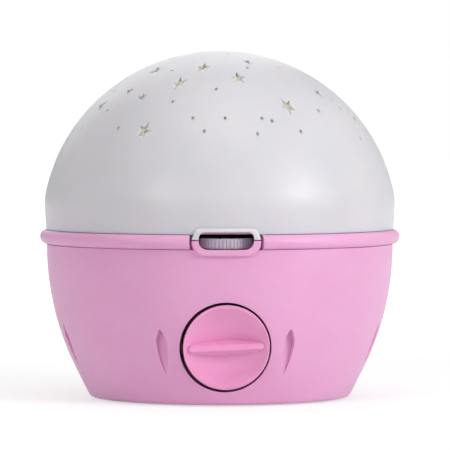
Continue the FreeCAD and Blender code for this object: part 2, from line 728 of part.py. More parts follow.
def finger_bar():
    """Drafted bar across the dish with rounded ends and a rounded ridge."""
    long_half = BAR_LENGTH / 2
    ridge_y = DIAL_FACE_Y + BAR_RIDGE_SINK
    outlines = []
    for y, thick in ((ridge_y, BAR_RIDGE), (ridge_y + BAR_DEEP, BAR_FOOT)):
        r = thick / 2 - 0.01
        corners = [(DIAL_X - long_half, DIAL_Z - thick / 2, r), (DIAL_X + long_half, DIAL_Z - thick / 2, r),
                   (DIAL_X + long_half, DIAL_Z + thick / 2, r), (DIAL_X - long_half, DIAL_Z + thick / 2, r)]
        outlines.append(rounded_outline(corners, y))
    bar = Part.makeLoft(outlines, True, True)
    bar = bar.makeFillet(BAR_ROUND, [e for e in bar.Edges if e.BoundBox.YMax < ridge_y + 0.01])
    bar.rotate(V(DIAL_X, 0, DIAL_Z), V(0, 1, 0), -BAR_TILT)
    return bar


def front_dial():
    back = WELL_FLOOR_Y - DIAL_BACK_GAP
    puck = forward(DIAL_R, DIAL_X, DIAL_Z, back, -BOWL_R - DIAL_R)
    cut_front = front_half_space(DIAL_FACE_Y, DIAL_FACE_Y - 2 * DIAL_R, 3 * DIAL_R)
    puck = puck.cut(cut_front)
    hollow = puck.cut(dish_ball(0))
    room = forward(DIAL_R - DIAL_SHELL, DIAL_X, DIAL_Z, back, -BOWL_R - DIAL_R)
    room = room.cut(front_half_space(DIAL_FACE_Y + DIAL_SHELL, DIAL_FACE_Y - 2 * DIAL_R, 3 * DIAL_R))
    room = room.cut(dish_ball(DIAL_SHELL))
    inside = forward(DIAL_R - 0.2, DIAL_X, DIAL_Z, back, -BOWL_R - DIAL_R)
    bar = finger_bar().common(inside).cut(dish_ball(DIAL_SHELL / 2).common(room))
    hub = forward(HUB_R, DIAL_X, DIAL_Z, WELL_FLOOR_Y - NUT_THICK - SWITCH_BUSH_REACH / 2 - 0.6, DIAL_FACE_Y)
    hub = hub.cut(dish_ball(DIAL_SHELL / 2))
    bore = forward(DIAL_SHAFT_R, DIAL_X, DIAL_Z, 0, dial_shaft_tip())
    return joined(hollow.cut(room), [bar, hub]).cut(bore)


def dial_shaft_tip():
    """Front end of the dial's shaft, inside the hub."""
    return DIAL_FACE_Y + DISH_DEPTH + 1.5 * DIAL_SHELL


def dial_shaft():
    back = WELL_FLOOR_Y + WELL_FLOOR + SWITCH_DEPTH - 1
    return forward(DIAL_SHAFT_R, DIAL_X, DIAL_Z, back, dial_shaft_tip())


def rotary_switch():
    rear = WELL_FLOOR_Y + WELL_FLOOR
    body = forward(SWITCH_R, DIAL_X, DIAL_Z, rear + SWITCH_DEPTH, rear)
    bush = forward(BUSH_R, DIAL_X, DIAL_Z, rear, WELL_FLOOR_Y - SWITCH_BUSH_REACH)
    bore = forward(DIAL_SHAFT_R + SHAFT_GAP, DIAL_X, DIAL_Z, rear + SWITCH_DEPTH - 1 + EDGE_GAP, -FAR)
    return body.fuse(bush).cut(bore).removeSplitter()


def switch_nut():
    nut = hexagon(NUT_FLAT, 0, NUT_THICK).cut(upright(BUSH_R, 0, 0, -1, FAR))
    nut.rotate(ORIGIN, V(1, 0, 0), 90)
    nut.translate(V(DIAL_X, WELL_FLOOR_Y, DIAL_Z))
    return nut


def screw(x, y, z_seat, reach, shank_r, head_r, head_thick, upward=True):
    """Pan head screw: its head bears at z_seat and its shank runs on from there."""
    sign = 1 if upward else -1
    axis = V(0, 0, sign)
    head = Part.makeCylinder(head_r, head_thick, V(x, y, z_seat), axis * -1)
    edge = [e for e in head.Edges if e.Length > 4 * head_r and abs(e.BoundBox.ZMax - z_seat) > head_thick / 2]
    head = head.makeFillet(head_thick * 0.4, edge)
    shank = Part.makeCylinder(shank_r, reach, V(x, y, z_seat), axis)
    cross = joined(block(x - head_r * 0.6, x + head_r * 0.6, y - 0.4, y + 0.4, 0, head_thick / 2),
                   [block(x - 0.4, x + 0.4, y - head_r * 0.6, y + head_r * 0.6, 0, head_thick / 2)])
    cross.translate(V(0, 0, z_seat - head_thick if upward else z_seat + head_thick / 2))
    return head.fuse(shank).cut(cross)


def dome_screws():
    low = TRAY_UNDER_Z - LUG_THICK
    reach = TRAY_TOP_Z + CLAMP_SCREW_REACH - low
    return Part.makeCompound([screw(*polar(CLAMP_R, a), low, reach, SCREW_R, HEAD_R, HEAD_THICK)
                              for a in CLAMP_ANGLES])


def base_screws():
    seat = BASE_Z + HEAD_THICK * 0.5
    reach = FLANGE_TOP_Z + BASE_BOSS_HIGH - 2 - seat
    return Part.makeCompound([screw(*polar(BASE_SCREW_PITCH_R, a), seat, reach, SCREW_R, HEAD_R,
                                    HEAD_THICK * 0.4) for a in BASE_SCREW_ANGLES])


def grille_points():
    """Grille holes over the speaker: the middle one and two hexagonal rings."""
    points = [(0.0, 0.0)]
    for ring_no in (1, 2):
        for i in range(6 * ring_no):
            points.append(polar(GRILLE_PITCH * ring_no, 360.0 * i / (6 * ring_no)))
    return points


def light_tray():
    body = upright(TRAY_R, 0, 0, TRAY_UNDER_Z, TRAY_TOP_Z)
    posts = []
    holes = [upright(BUSH_R + BUSH_GAP, 0, WHEEL_Y, 0, FAR),
             upright(LEAD_HOLE_R, LEAD_HOLE_X, LEAD_HOLE_Y, 0, FAR)]
    for a in CLAMP_ANGLES:
        holes.append(upright(SCREW_CLEAR_R, *polar(CLAMP_R, a), 0, FAR))
    for a in PEDESTAL_ANGLES:
        x, y = polar(PEDESTAL_SCREW_R, a)
        posts.append(upright(STANDOFF_R, x, y, TRAY_UNDER_Z - TRAY_BOSS_HIGH, TRAY_UNDER_Z))
        holes.append(upright(SMALL_SCREW_R + SCREW_GAP, x, y, TRAY_UNDER_Z - TRAY_BOSS_HIGH + 1, FAR))
    for a in SPEAKER_ANGLES:
        x, y = polar(SPEAKER_SCREW_R, a)
        posts.append(upright(STANDOFF_R, x, SPEAKER_Y + y, TRAY_TOP_Z, TRAY_TOP_Z + TRAY_BOSS_HIGH))
        holes.append(upright(SMALL_SCREW_R + SCREW_GAP, x, SPEAKER_Y + y, 0,
                             TRAY_TOP_Z + TRAY_BOSS_HIGH - 1))
    for x, y in grille_points():
        holes.append(upright(GRILLE_HOLE_R, x, SPEAKER_Y + y, 0, FAR))
    return joined(body, posts).cut(Part.makeCompound(holes))


def led_pedestal():
    """Hollow stand that lifts the lamps to the middle of the dome."""
    foot = upright(PEDESTAL_FOOT_R, 0, 0, TRAY_TOP_Z, TRAY_TOP_Z + PEDESTAL_WALL)
    post = Part.makeCone(PEDESTAL_R, LAMP_BOARD_R + 0.5, PEDESTAL_HIGH, V(0, 0, TRAY_TOP_Z))
    room = Part.makeCone(PEDESTAL_R - PEDESTAL_WALL, LAMP_BOARD_R - PEDESTAL_WALL + 0.5,
                         PEDESTAL_HIGH - PEDESTAL_WALL, V(0, 0, TRAY_TOP_Z))
    holes = [room, upright(LEAD_HOLE_R, LEAD_HOLE_X, LEAD_HOLE_Y, 0, FAR),
             upright(SMALL_SCREW_R + SCREW_GAP, 0, 0, 0, FAR)]
    for a in PEDESTAL_ANGLES:
        holes.append(upright(SMALL_SCREW_R + SCREW_CLEAR_R - SCREW_R, *polar(PEDESTAL_SCREW_R, a), 0, FAR))
    return joined(foot, [post]).cut(Part.makeCompound(holes))


def pedestal_screws():
    seat = TRAY_TOP_Z + PEDESTAL_WALL
    return Part.makeCompound([screw(*polar(PEDESTAL_SCREW_R, a), seat, TRAY_BOSS_HIGH, SMALL_SCREW_R,
                                    SMALL_HEAD_R, SMALL_HEAD_THICK, False) for a in PEDESTAL_ANGLES])


def led_board():
    board = upright(LAMP_BOARD_R, 0, 0, PEDESTAL_TOP_Z, LAMP_Z)
    return board.cut(upright(SCREW_CLEAR_R, 0, 0, 0, FAR))


def led_board_screw():
    return screw(0, 0, LAMP_Z, BOARD_THICK + PEDESTAL_WALL, SMALL_SCREW_R, SMALL_HEAD_R,
                 SMALL_HEAD_THICK, False)


def lamp(degrees):
    """Round headed lamp with its foot flange on the board."""
    x, y = polar(LAMP_PITCH_R, degrees)
    flange = upright(LAMP_R + 0.4, x, y, LAMP_Z, LAMP_Z + 1)
    body = upright(LAMP_R, x, y, LAMP_Z, LAMP_Z + LAMP_HIGH)
    head = Part.makeSphere(LAMP_R, V(x, y, LAMP_Z + LAMP_HIGH))
    return joined(flange, [body, head])


def speaker_frame():
    """Pressed basket with a flat flange, under the tray."""
    top = TRAY_UNDER_Z
    low = top - SPEAKER_FLANGE
    flange = upright(SPEAKER_R + SPEAKER_RIM, 0, SPEAKER_Y, low, top)
    basket = Part.makeCone(BASKET_LOW_R, BASKET_TOP_R, BASKET_DEEP, V(0, SPEAKER_Y, low - BASKET_DEEP))
    room = Part.makeCone(BASKET_LOW_R - BASKET_WALL, BASKET_TOP_R - BASKET_WALL, BASKET_DEEP + SPEAKER_FLANGE,
                         V(0, SPEAKER_Y, low - BASKET_DEEP + BASKET_WALL))
    holes = [room]
    for a in SPEAKER_ANGLES:
        x, y = polar(SPEAKER_SCREW_R, a)
        holes.append(upright(SMALL_SCREW_R + SCREW_CLEAR_R - SCREW_R, x, SPEAKER_Y + y, 0, FAR))
    return joined(flange, [basket]).cut(Part.makeCompound(holes))


def speaker_cone():
    """Paper cone with a round dust cap, seated in the basket."""
    low = TRAY_UNDER_Z - SPEAKER_FLANGE - BASKET_DEEP + BASKET_WALL
    slope = (BASKET_TOP_R - BASKET_LOW_R) / (BASKET_DEEP + SPEAKER_FLANGE)
    foot = BASKET_LOW_R - BASKET_WALL - CONE_GAP
    rim = foot + slope * CONE_HIGH
    high = low + CONE_HIGH
    edges = polygon_edges([section(foot - CONE_HOLLOW, low), section(foot, low), section(rim, high),
                           section(rim - CONE_THICK, high), section(foot - CONE_THICK, low + CONE_THICK),
                           section(foot - CONE_HOLLOW, low + CONE_THICK)])
    cone = turned(edges)
    cap = Part.makeSphere(CAP_R, V(0, 0, low - CAP_SINK)).common(upright(foot - 4, 0, 0, low, FAR))
    body = joined(cone, [cap])
    body.translate(V(0, SPEAKER_Y, 0))
    return body


def speaker_magnet():
    high = TRAY_UNDER_Z - SPEAKER_FLANGE - BASKET_DEEP
    body = upright(MAGNET_R, 0, SPEAKER_Y, high - MAGNET_THICK, high)
    return body.makeChamfer(0.8, [e for e in body.Edges if e.Length > MAGNET_R * 4])


def speaker_screws():
    seat = TRAY_UNDER_Z - SPEAKER_FLANGE
    screws = []
    for a in SPEAKER_ANGLES:
        x, y = polar(SPEAKER_SCREW_R, a)
        screws.append(screw(x, SPEAKER_Y + y, seat, SPEAKER_FLANGE + TRAY_THICK + TRAY_BOSS_HIGH - 2,
                            SMALL_SCREW_R, SMALL_HEAD_R, SMALL_HEAD_THICK))
    return Part.makeCompound(screws)


def lid_opening(grow=0.0):
    """Space of the battery box opening, widened by grow on every side."""
    return (-BOX_HALF_X - grow, BOX_HALF_X + grow, BOX_Y - BOX_HALF_Y - grow, BOX_Y + BOX_HALF_Y + grow)


def ear_screw_x():
    return BOX_HALF_X + LID_EAR_LONG / 2 + 0.5


def base_plate():
    """Round plate with the battery box, board standoffs and the lid's screw boss."""
    x0, x1, y0, y1 = lid_opening()
    plate = upright(PLATE_R, 0, 0, BASE_Z, PLATE_TOP_Z)
    box = block(x0 - BOX_WALL, x1 + BOX_WALL, y0 - BOX_WALL, y1 + BOX_WALL, BASE_Z, BOX_TOP_Z)
    ear_boss = block(x1, x1 + LID_EAR_LONG + BOX_WALL, BOX_Y - LID_EAR_HALF - BOX_WALL,
                     BOX_Y + LID_EAR_HALF + BOX_WALL, BASE_Z, LID_TOP_Z + 6)
    posts = [upright(STANDOFF_R, sx * STANDOFF_X, BOX_Y + sy * STANDOFF_Y, BOX_TOP_Z, BOARD_Z)
             for sx in (-1, 1) for sy in (-1, 1)]
    body = joined(plate, [box, ear_boss] + posts)
    cuts = [block(x0, x1, y0, y1, 0, BOX_ROOF_Z),
            block(0, x1 + LID_EAR_LONG + EDGE_GAP, BOX_Y - LID_EAR_HALF - EDGE_GAP,
                  BOX_Y + LID_EAR_HALF + EDGE_GAP, 0, LID_TOP_Z)]
    cuts.append(upright(SCREW_R + SCREW_GAP, ear_screw_x(), BOX_Y, 0, LID_TOP_Z + 5))
    cuts += [tab_slot(side) for side in (-1, 1)]
    for sx in (-1, 1):
        for sy in (-1, 1):
            cuts.append(upright(SMALL_SCREW_R + SCREW_GAP, sx * STANDOFF_X, BOX_Y + sy * STANDOFF_Y,
                                BOX_TOP_Z - 0.5, FAR))
    for a in BASE_SCREW_ANGLES:
        x, y = polar(BASE_SCREW_PITCH_R, a)
        cuts.append(upright(SCREW_CLEAR_R, x, y, 0, PLATE_TOP_Z))
        cuts.append(upright(HEAD_R + EDGE_GAP, x, y, 0, BASE_Z + HEAD_THICK * 0.5))
    for a in FOOT_ANGLES:
        cuts.append(upright(FOOT_R, *polar(FOOT_PITCH_R, a), 0, BASE_Z + FOOT_RECESS))
    return body.cut(Part.makeCompound(cuts))


def tab_slot(side):
    """Slot in the box wall that a lid tab hooks into and swings up in."""
    y = BOX_Y + side * LID_TAB_Y
    half = LID_TAB_WIDE / 2 + EDGE_GAP
    reach = LID_TAB_LONG + LID_AXIS_INSET + 2 * EDGE_GAP
    inner = block(-BOX_HALF_X - reach, 0, y - half, y + half, LID_UNDER_Z + 0.2, LID_TOP_Z + LID_TAB_LONG)
    mouth = block(-BOX_HALF_X - 3 * EDGE_GAP, 0, y - half, y + half, 0, LID_TOP_Z)
    return inner.fuse(mouth)


def hinge_chamfer(x, y0, y1):
    """Wedge cut from the lid's lower edge on the hinge side."""
    corners = [V(x, y0, LID_UNDER_Z), V(x + LID_HINGE_CHAMFER, y0, LID_UNDER_Z),
               V(x, y0, LID_UNDER_Z + LID_HINGE_CHAMFER)]
    return Part.Face(Part.Wire(polygon_edges(corners))).extrude(V(0, y1 - y0, 0))


def battery_door():
    """Flat lid with an ear for its screw and two tabs opposite."""
    x0, x1, y0, y1 = lid_opening(-EDGE_GAP)
    body = block(x0, x1, y0, y1, LID_UNDER_Z, LID_TOP_Z)
    ear = block(0, x1 + LID_EAR_LONG, BOX_Y - LID_EAR_HALF, BOX_Y + LID_EAR_HALF, LID_UNDER_Z, LID_TOP_Z)
    low = LID_UNDER_Z + (LID_THICK - LID_TAB_THICK) / 2
    tabs = []
    for side in (-1, 1):
        y = BOX_Y + side * LID_TAB_Y
        tabs.append(block(x0 - LID_TAB_LONG - LID_AXIS_INSET, x0 + 1, y - LID_TAB_WIDE / 2,
                          y + LID_TAB_WIDE / 2, low, low + LID_TAB_THICK))
    body = joined(body, [ear] + tabs)
    cuts = [upright(SCREW_CLEAR_R, ear_screw_x(), BOX_Y, 0, FAR),
            upright(HEAD_R + EDGE_GAP, ear_screw_x(), BOX_Y, 0, LID_UNDER_Z + HEAD_THICK * 0.6),
            hinge_chamfer(x0, y0, y1)]
    for i in range(7):
        x = -BOX_HALF_X + 6 + 1.6 * i
        cuts.append(block(x, x + 0.8, BOX_Y - 8, BOX_Y + 8, 0, LID_UNDER_Z + 0.4))
    return body.cut(Part.makeCompound(cuts))


def door_screw():
    seat = LID_UNDER_Z + HEAD_THICK * 0.6
    return screw(ear_screw_x(), BOX_Y, seat, 5.0, SCREW_R, HEAD_R, HEAD_THICK * 0.5)


def foot_pads():
    pads = []
    for a in FOOT_ANGLES:
        x, y = polar(FOOT_PITCH_R, a)
        pad = upright(FOOT_R, x, y, 0, BASE_Z + FOOT_RECESS)
        low = [e for e in pad.Edges if e.BoundBox.ZMax < 0.1]
        pads.append(pad.makeFillet(0.3, low))
    return Part.makeCompound(pads)


def cell_y(i):
    return BOX_Y + (i - (CELL_COUNT - 1) / 2) * CELL_PITCH


def cell_turn(i):
    """+1 where the cell's raised end points to +X, and -1 on every second cell."""
    return 1 if i % 2 == 0 else -1


def cell_shift(i):
    """Middle of a cell's can: its raised end touches the contact plate."""
    plate = BOX_HALF_X - PLATE_CONTACT
    return cell_turn(i) * (plate - CELL_NUB_LONG - CELL_LONG / 2)


def battery_cells():
    cells = []
    for i in range(CELL_COUNT):
        turn = cell_turn(i)
        start = V(cell_shift(i) - turn * CELL_LONG / 2, cell_y(i), CELL_Z)
        can = Part.makeCylinder(CELL_R, CELL_LONG, start, V(turn, 0, 0))
        can = can.makeFillet(0.6, [e for e in can.Edges if e.Length > CELL_R * 4 and len(e.Vertexes) == 1])
        nub = Part.makeCylinder(CELL_NUB_R, CELL_NUB_LONG, start + V(turn * CELL_LONG, 0, 0), V(turn, 0, 0))
        cells.append(can.fuse(nub))
    return Part.makeCompound(cells)


def contact_plates():
    """One plate at each end of each cell, flat on the box's end walls."""
    plates = []
    for i in range(CELL_COUNT):
        for side in (-1, 1):
            x0 = side * BOX_HALF_X
            x1 = x0 - side * PLATE_CONTACT
            plates.append(block(min(x0, x1), max(x0, x1), cell_y(i) - PLATE_CONTACT_HALF,
                                cell_y(i) + PLATE_CONTACT_HALF, CELL_Z - PLATE_CONTACT_HALF,
                                CELL_Z + PLATE_CONTACT_HALF))
    return Part.makeCompound(plates)


def spring_room():
    """Free length for a spring between its plate and the flat end of the cell."""
    return 2 * (BOX_HALF_X - PLATE_CONTACT) - CELL_NUB_LONG - CELL_LONG


def spring_point(quarter, length):
    """Point of the tapered coil after a number of quarter turns, its axis along X."""
    share = quarter / (4.0 * SPRING_TURNS)
    r = SPRING_FOOT_R + (SPRING_TIP_R - SPRING_FOOT_R) * share
    a = math.pi / 2 * quarter
    return V(length * share, r * math.cos(a), r * math.sin(a))


def contact_spring():
    """Tapered coil that presses on a cell's flat end."""
    length = spring_room() - 2 * SPRING_WIRE_R - 0.1
    edges = []
    for half in range(2 * SPRING_TURNS):
        edges.append(arc(spring_point(2 * half, length), spring_point(2 * half + 1, length),
                         spring_point(2 * half + 2, length)))
    path = Part.Wire(edges)
    start = spring_point(0, length)
    first = edges[0].tangentAt(edges[0].FirstParameter)
    wire = Part.Wire([Part.makeCircle(SPRING_WIRE_R, start, first)])
    return path.makePipeShell([wire], True, False)


def contact_springs():
    springs = []
    for i in range(CELL_COUNT):
        turn = cell_turn(i)
        coil = contact_spring()
        coil.translate(V(SPRING_WIRE_R + 0.05, 0, 0))
        if turn < 0:
            coil.rotate(ORIGIN, UP, 180)
        coil.translate(V(-turn * (BOX_HALF_X - PLATE_CONTACT), cell_y(i), CELL_Z))
        springs.append(coil)
    return Part.makeCompound(springs)


def main_board():
    board = block(-BOARD_HALF_X, BOARD_HALF_X, BOX_Y - BOARD_HALF_Y, BOX_Y + BOARD_HALF_Y, BOARD_Z,
                  BOARD_TOP_Z)
    holes = [upright(SMALL_SCREW_R + SCREW_CLEAR_R - SCREW_R, sx * STANDOFF_X, BOX_Y + sy * STANDOFF_Y, 0, FAR)
             for sx in (-1, 1) for sy in (-1, 1)]
    return board.cut(Part.makeCompound(holes))


def board_screws():
    return Part.makeCompound([screw(sx * STANDOFF_X, BOX_Y + sy * STANDOFF_Y, BOARD_TOP_Z,
                                    BOARD_THICK + STANDOFF_HIGH, SMALL_SCREW_R, SMALL_HEAD_R,
                                    SMALL_HEAD_THICK, False) for sx in (-1, 1) for sy in (-1, 1)])


def control_chip():
    long, wide, high = CHIP_SIZE
    return block(-long / 2, long / 2, BOX_Y - wide / 2, BOX_Y + wide / 2, BOARD_TOP_Z, BOARD_TOP_Z + high)


def board_capacitors():
    return Part.makeCompound([upright(CAPACITOR_R, x, BOX_Y + 9, BOARD_TOP_Z, BOARD_TOP_Z + CAPACITOR_HIGH)
                              for x in (-14, -4)])


def board_sockets():
    """Lead sockets on the main board."""
    long, wide, high = SOCKET_SIZE
    return Part.makeCompound([block(x - long / 2, x + long / 2, BOX_Y + y - wide / 2, BOX_Y + y + wide / 2,
                                    BOARD_TOP_Z, BOARD_TOP_Z + high) for x, y in SOCKETS.values()])


def socket_top(name):
    x, y = SOCKETS[name]
    return V(x, BOX_Y + y, BOARD_TOP_Z + SOCKET_SIZE[2])


def lead(points):
    """Round lead along straight runs joined by arcs that touch both runs."""
    edges = []
    at = points[0]
    for i in range(1, len(points) - 1):
        back = points[i - 1] - points[i]
        ahead = points[i + 1] - points[i]
        take = LEAD_BEND * min(back.Length, ahead.Length)
        back.normalize()
        ahead.normalize()
        half = back.getAngle(ahead) / 2
        radius = take * math.tan(half)
        middle = back + ahead
        middle.normalize()
        centre = points[i] + middle * (radius / math.sin(half))
        start = points[i] + back * take
        end = points[i] + ahead * take
        edges.append(line(at, start))
        edges.append(arc(start, centre - middle * radius, end))
        print("lead bend", i, round(radius, 1))
        at = end
    edges.append(line(at, points[-1]))
    path = Part.Wire(edges)
    direction = points[1] - points[0]
    tube = path.makePipeShell([Part.Wire([Part.makeCircle(LEAD_R, points[0], direction)])], True, False)
    print("lead volume share", round(tube.Volume / (math.pi * LEAD_R ** 2 * path.Length), 4))
    return tube


def lamp_lead():
    """From the main board up through the tray to the lamp board."""
    start = socket_top("lamp")
    end = V(LEAD_HOLE_X, LEAD_HOLE_Y, PEDESTAL_TOP_Z)
    return lead([start, start + UP * 10, V(10, 10, 53), end - UP * 13, end])


def speaker_lead():
    """From the main board to the speaker's flange."""
    start = socket_top("speaker")
    end = V(23, SPEAKER_Y - 3, TRAY_UNDER_Z - SPEAKER_FLANGE)
    return lead([start, start + UP * 9, V(21, 30, 50), end - UP * 7, end])


def switch_lead():
    """From the back of the rotary switch to the main board."""
    rear = V(DIAL_X, WELL_FLOOR_Y + WELL_FLOOR + SWITCH_DEPTH, DIAL_Z + 7)
    end = socket_top("switch")
    return lead([rear, rear + V(0, 8, 0), end + V(-1, -5, 9), end + UP * 8, end])


def wheel_lead():
    """From the wheel's potentiometer over the dial well to the main board."""
    start = V(0, WHEEL_Y, TRAY_UNDER_Z - POT_THICK)
    end = socket_top("wheel")
    return lead([start, start - UP * 4, V(-5, -44, 54), V(-11, -26, 46), end + UP * 9, end])


def battery_lead():
    """From the battery box's end wall over the board's edge to its socket."""
    start = V(-BOX_HALF_X - BOX_WALL, BOX_Y - 6, CELL_Z + 4)
    end = socket_top("battery")
    return lead([start, start + V(-7, 0, 0), V(-37.5, BOX_Y - 6, BOARD_TOP_Z + 3), end + V(-4, 0, 9),
                 end + UP * 7, end])


NODES = {
    "base_bowl": base_bowl, "dome_shell": dome_shell, "rim_band": rim_band,
    "front_dial": front_dial, "dial_shaft": dial_shaft, "rotary_switch": rotary_switch,
    "switch_nut": switch_nut,
    "volume_wheel": wheel, "wheel_shaft": wheel_shaft, "wheel_pot": wheel_pot, "pot_nut": pot_nut,
    "light_tray": light_tray, "dome_screws": dome_screws,
    "led_pedestal": led_pedestal, "pedestal_screws": pedestal_screws, "led_board": led_board,
    "led_board_screw": led_board_screw,
    "led_amber": lambda: lamp(30), "led_green": lambda: lamp(150), "led_blue": lambda: lamp(270),
    "speaker_frame": speaker_frame, "speaker_cone": speaker_cone, "speaker_magnet": speaker_magnet,
    "speaker_screws": speaker_screws,
    "base_plate": base_plate, "base_screws": base_screws, "battery_door": battery_door,
    "door_screw": door_screw, "foot_pads": foot_pads,
    "battery_cells": battery_cells, "contact_plates": contact_plates, "contact_springs": contact_springs,
    "main_board": main_board, "board_screws": board_screws, "control_chip": control_chip,
    "board_capacitors": board_capacitors, "board_sockets": board_sockets,
    "lamp_lead": lamp_lead, "speaker_lead": speaker_lead, "switch_lead": switch_lead,
    "wheel_lead": wheel_lead, "battery_lead": battery_lead,
}


def main():
    os.makedirs("parts", exist_ok=True)
    for name, make in NODES.items():
        export(make(), name)


main()
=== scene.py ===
"""A star night light: pierced white dome, pink bowl, front dial and thumbwheel, over its CAD frame."""
import logging
import math
from collections.abc import Callable
from dataclasses import dataclass, field
from enum import Enum

import bmesh
import bpy
from mathutils import Matrix, Vector


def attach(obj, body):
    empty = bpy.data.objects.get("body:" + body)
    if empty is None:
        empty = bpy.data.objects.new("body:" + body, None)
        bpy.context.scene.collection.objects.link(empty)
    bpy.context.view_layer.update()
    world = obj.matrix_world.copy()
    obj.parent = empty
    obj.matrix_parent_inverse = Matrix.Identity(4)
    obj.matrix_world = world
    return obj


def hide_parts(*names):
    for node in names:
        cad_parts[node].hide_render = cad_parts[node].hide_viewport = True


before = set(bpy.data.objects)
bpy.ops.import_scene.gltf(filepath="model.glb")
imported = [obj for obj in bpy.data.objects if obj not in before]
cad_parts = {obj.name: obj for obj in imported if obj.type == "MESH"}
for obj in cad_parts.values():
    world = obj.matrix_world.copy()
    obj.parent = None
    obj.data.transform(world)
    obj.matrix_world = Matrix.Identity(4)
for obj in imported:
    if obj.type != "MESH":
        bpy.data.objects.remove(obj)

LOG = logging.getLogger("night_light")
MM = 0.001
WELD_MM = 0.001
SEAM_WELD_MM = 0.0005
DRIFT_MM = 22.0
METAL_DRIFT_MM = 6.0
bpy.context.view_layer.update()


class Body(Enum):
    """What a piece moves with."""

    HOUSING = "housing"
    DIAL = "dial"
    WHEEL = "wheel"
    DOOR = "door"


class Slot(Enum):
    """The record's material slot named with each piece's finish."""

    PINK = "pink_shell"
    WHITE = "white_shell"
    WHEEL = "wheel_plastic"
    DARK = "dark_plastic"
    INNER = "inner_plastic"
    BOARD = "board"
    AMBER = "lamp_amber"
    GREEN = "lamp_green"
    BLUE = "lamp_blue"
    STEEL = "steel"
    PRESSED = "pressed_steel"
    PAPER = "cone_paper"
    FERRITE = "ferrite"
    RUBBER = "foot_rubber"
    SLEEVE = "lead_sleeve"


def linear(colour: str) -> tuple[float, float, float, float]:
    """Turn an sRGB hex colour into linear red, green, blue and alpha.

    Args:
        colour: Six hex digits after a hash sign.

    Returns:
        The linear colour with full alpha.
    """
    parts = [int(colour[i:i + 2], 16) / 255 for i in (1, 3, 5)]
    red, green, blue = (c / 12.92 if c <= 0.04045 else ((c + 0.055) / 1.055) ** 2.4 for c in parts)
    return red, green, blue, 1.0


def add(tree: bpy.types.NodeTree, kind: str, inputs: dict | None = None,
        **settings: object) -> bpy.types.Node:
    """Add a shader node with its settings, values and links.

    Args:
        tree: The node tree to grow.
        kind: The node's type name.
        inputs: Values or output sockets, keyed by the input's name or number.
        **settings: Properties of the node itself.

    Returns:
        The new node.
    """
    node = tree.nodes.new(kind)
    for name, value in settings.items():
        setattr(node, name, value)
    for key, value in (inputs or {}).items():
        if isinstance(value, bpy.types.NodeSocket):
            tree.links.new(value, node.inputs[key])
        else:
            node.inputs[key].default_value = value
    return node


def blank_material(name: str) -> tuple[bpy.types.Material, bpy.types.NodeTree]:
    """Return a new material and its cleared node tree."""
    material = bpy.data.materials.new(name)
    material.use_nodes = True
    material.node_tree.nodes.clear()
    return material, material.node_tree


def tone_drift(tree: bpy.types.NodeTree, first: str, second: str, patch_mm: float) -> bpy.types.NodeSocket:
    """Lay a slow drift between two close tones over a surface.

    Args:
        tree: The material's tree.
        first: One tone.
        second: The other tone.
        patch_mm: Rough width of a patch of one tone.

    Returns:
        The colour output.
    """
    place = add(tree, "ShaderNodeTexCoord")
    noise = add(tree, "ShaderNodeTexNoise", {"Vector": place.outputs["Object"], "Scale": 1 / (patch_mm * MM),
                                              "Detail": 3.0, "Roughness": 0.5})
    ramp = add(tree, "ShaderNodeValToRGB", {"Fac": noise.outputs["Fac"]})
    ramp.color_ramp.elements[0].position = 0.35
    ramp.color_ramp.elements[0].color = linear(first)
    ramp.color_ramp.elements[1].position = 0.65
    ramp.color_ramp.elements[1].color = linear(second)
    return ramp.outputs["Color"]


def grain_bump(tree: bpy.types.NodeTree, grain_mm: float, depth_mm: float,
               edge_mm: float = 0.0) -> bpy.types.NodeSocket:
    """Make the fine dimples of a moulded or rolled surface, over softened edges.

    Args:
        tree: The material's tree.
        grain_mm: Width of one dimple.
        depth_mm: Depth of the dimples.
        edge_mm: Radius by which sharp edges are eased, or 0.

    Returns:
        The normal output.
    """
    place = add(tree, "ShaderNodeTexCoord")
    noise = add(tree, "ShaderNodeTexNoise", {"Vector": place.outputs["Object"], "Scale": 1 / (grain_mm * MM),
                                              "Detail": 2.0})
    bump = add(tree, "ShaderNodeBump", {"Height": noise.outputs["Fac"], "Strength": 1.0,
                                         "Distance": depth_mm * MM})
    if edge_mm:
        eased = add(tree, "ShaderNodeBevel", {"Radius": edge_mm * MM}, samples=4)
        tree.links.new(eased.outputs["Normal"], bump.inputs["Normal"])
    return bump.outputs["Normal"]


@dataclass(frozen=True)
class Moulded:
    """An injection-moulded or cast polymer.

    The tool leaves a fine even grain, so highlights are soft at their rim, and the colour drifts a little.
    """

    name: str
    tone: str
    shade: str
    roughness: float
    ior: float = 1.54
    grain_mm: float = 0.9
    grain_depth_mm: float = 0.004
    edge_mm: float = 0.0
    depth_mm: float = 0.0
    clear: float = 0.0
    coat: float = 0.0
    shine: float = 0.5

    def material(self) -> bpy.types.Material:
        """Build the finish, or return it where it has been built."""
        known = bpy.data.materials.get(self.name)
        if known:
            return known
        material, tree = blank_material(self.name)
        colour = tone_drift(tree, self.tone, self.shade, DRIFT_MM)
        normal = grain_bump(tree, self.grain_mm, self.grain_depth_mm, self.edge_mm)
        shader = add(tree, "ShaderNodeBsdfPrincipled", {
            "Base Color": colour, "Normal": normal, "Roughness": self.roughness, "IOR": self.ior,
            "Transmission Weight": self.clear, "Coat Weight": self.coat, "Coat Roughness": 0.18,
            "Specular IOR Level": self.shine})
        if self.depth_mm:
            shader.inputs["Subsurface Weight"].default_value = 1.0
            shader.inputs["Subsurface Radius"].default_value = (1.0, 0.86, 0.7)
            shader.inputs["Subsurface Scale"].default_value = self.depth_mm * MM
        add(tree, "ShaderNodeOutputMaterial", {"Surface": shader.outputs["BSDF"]})
        return material


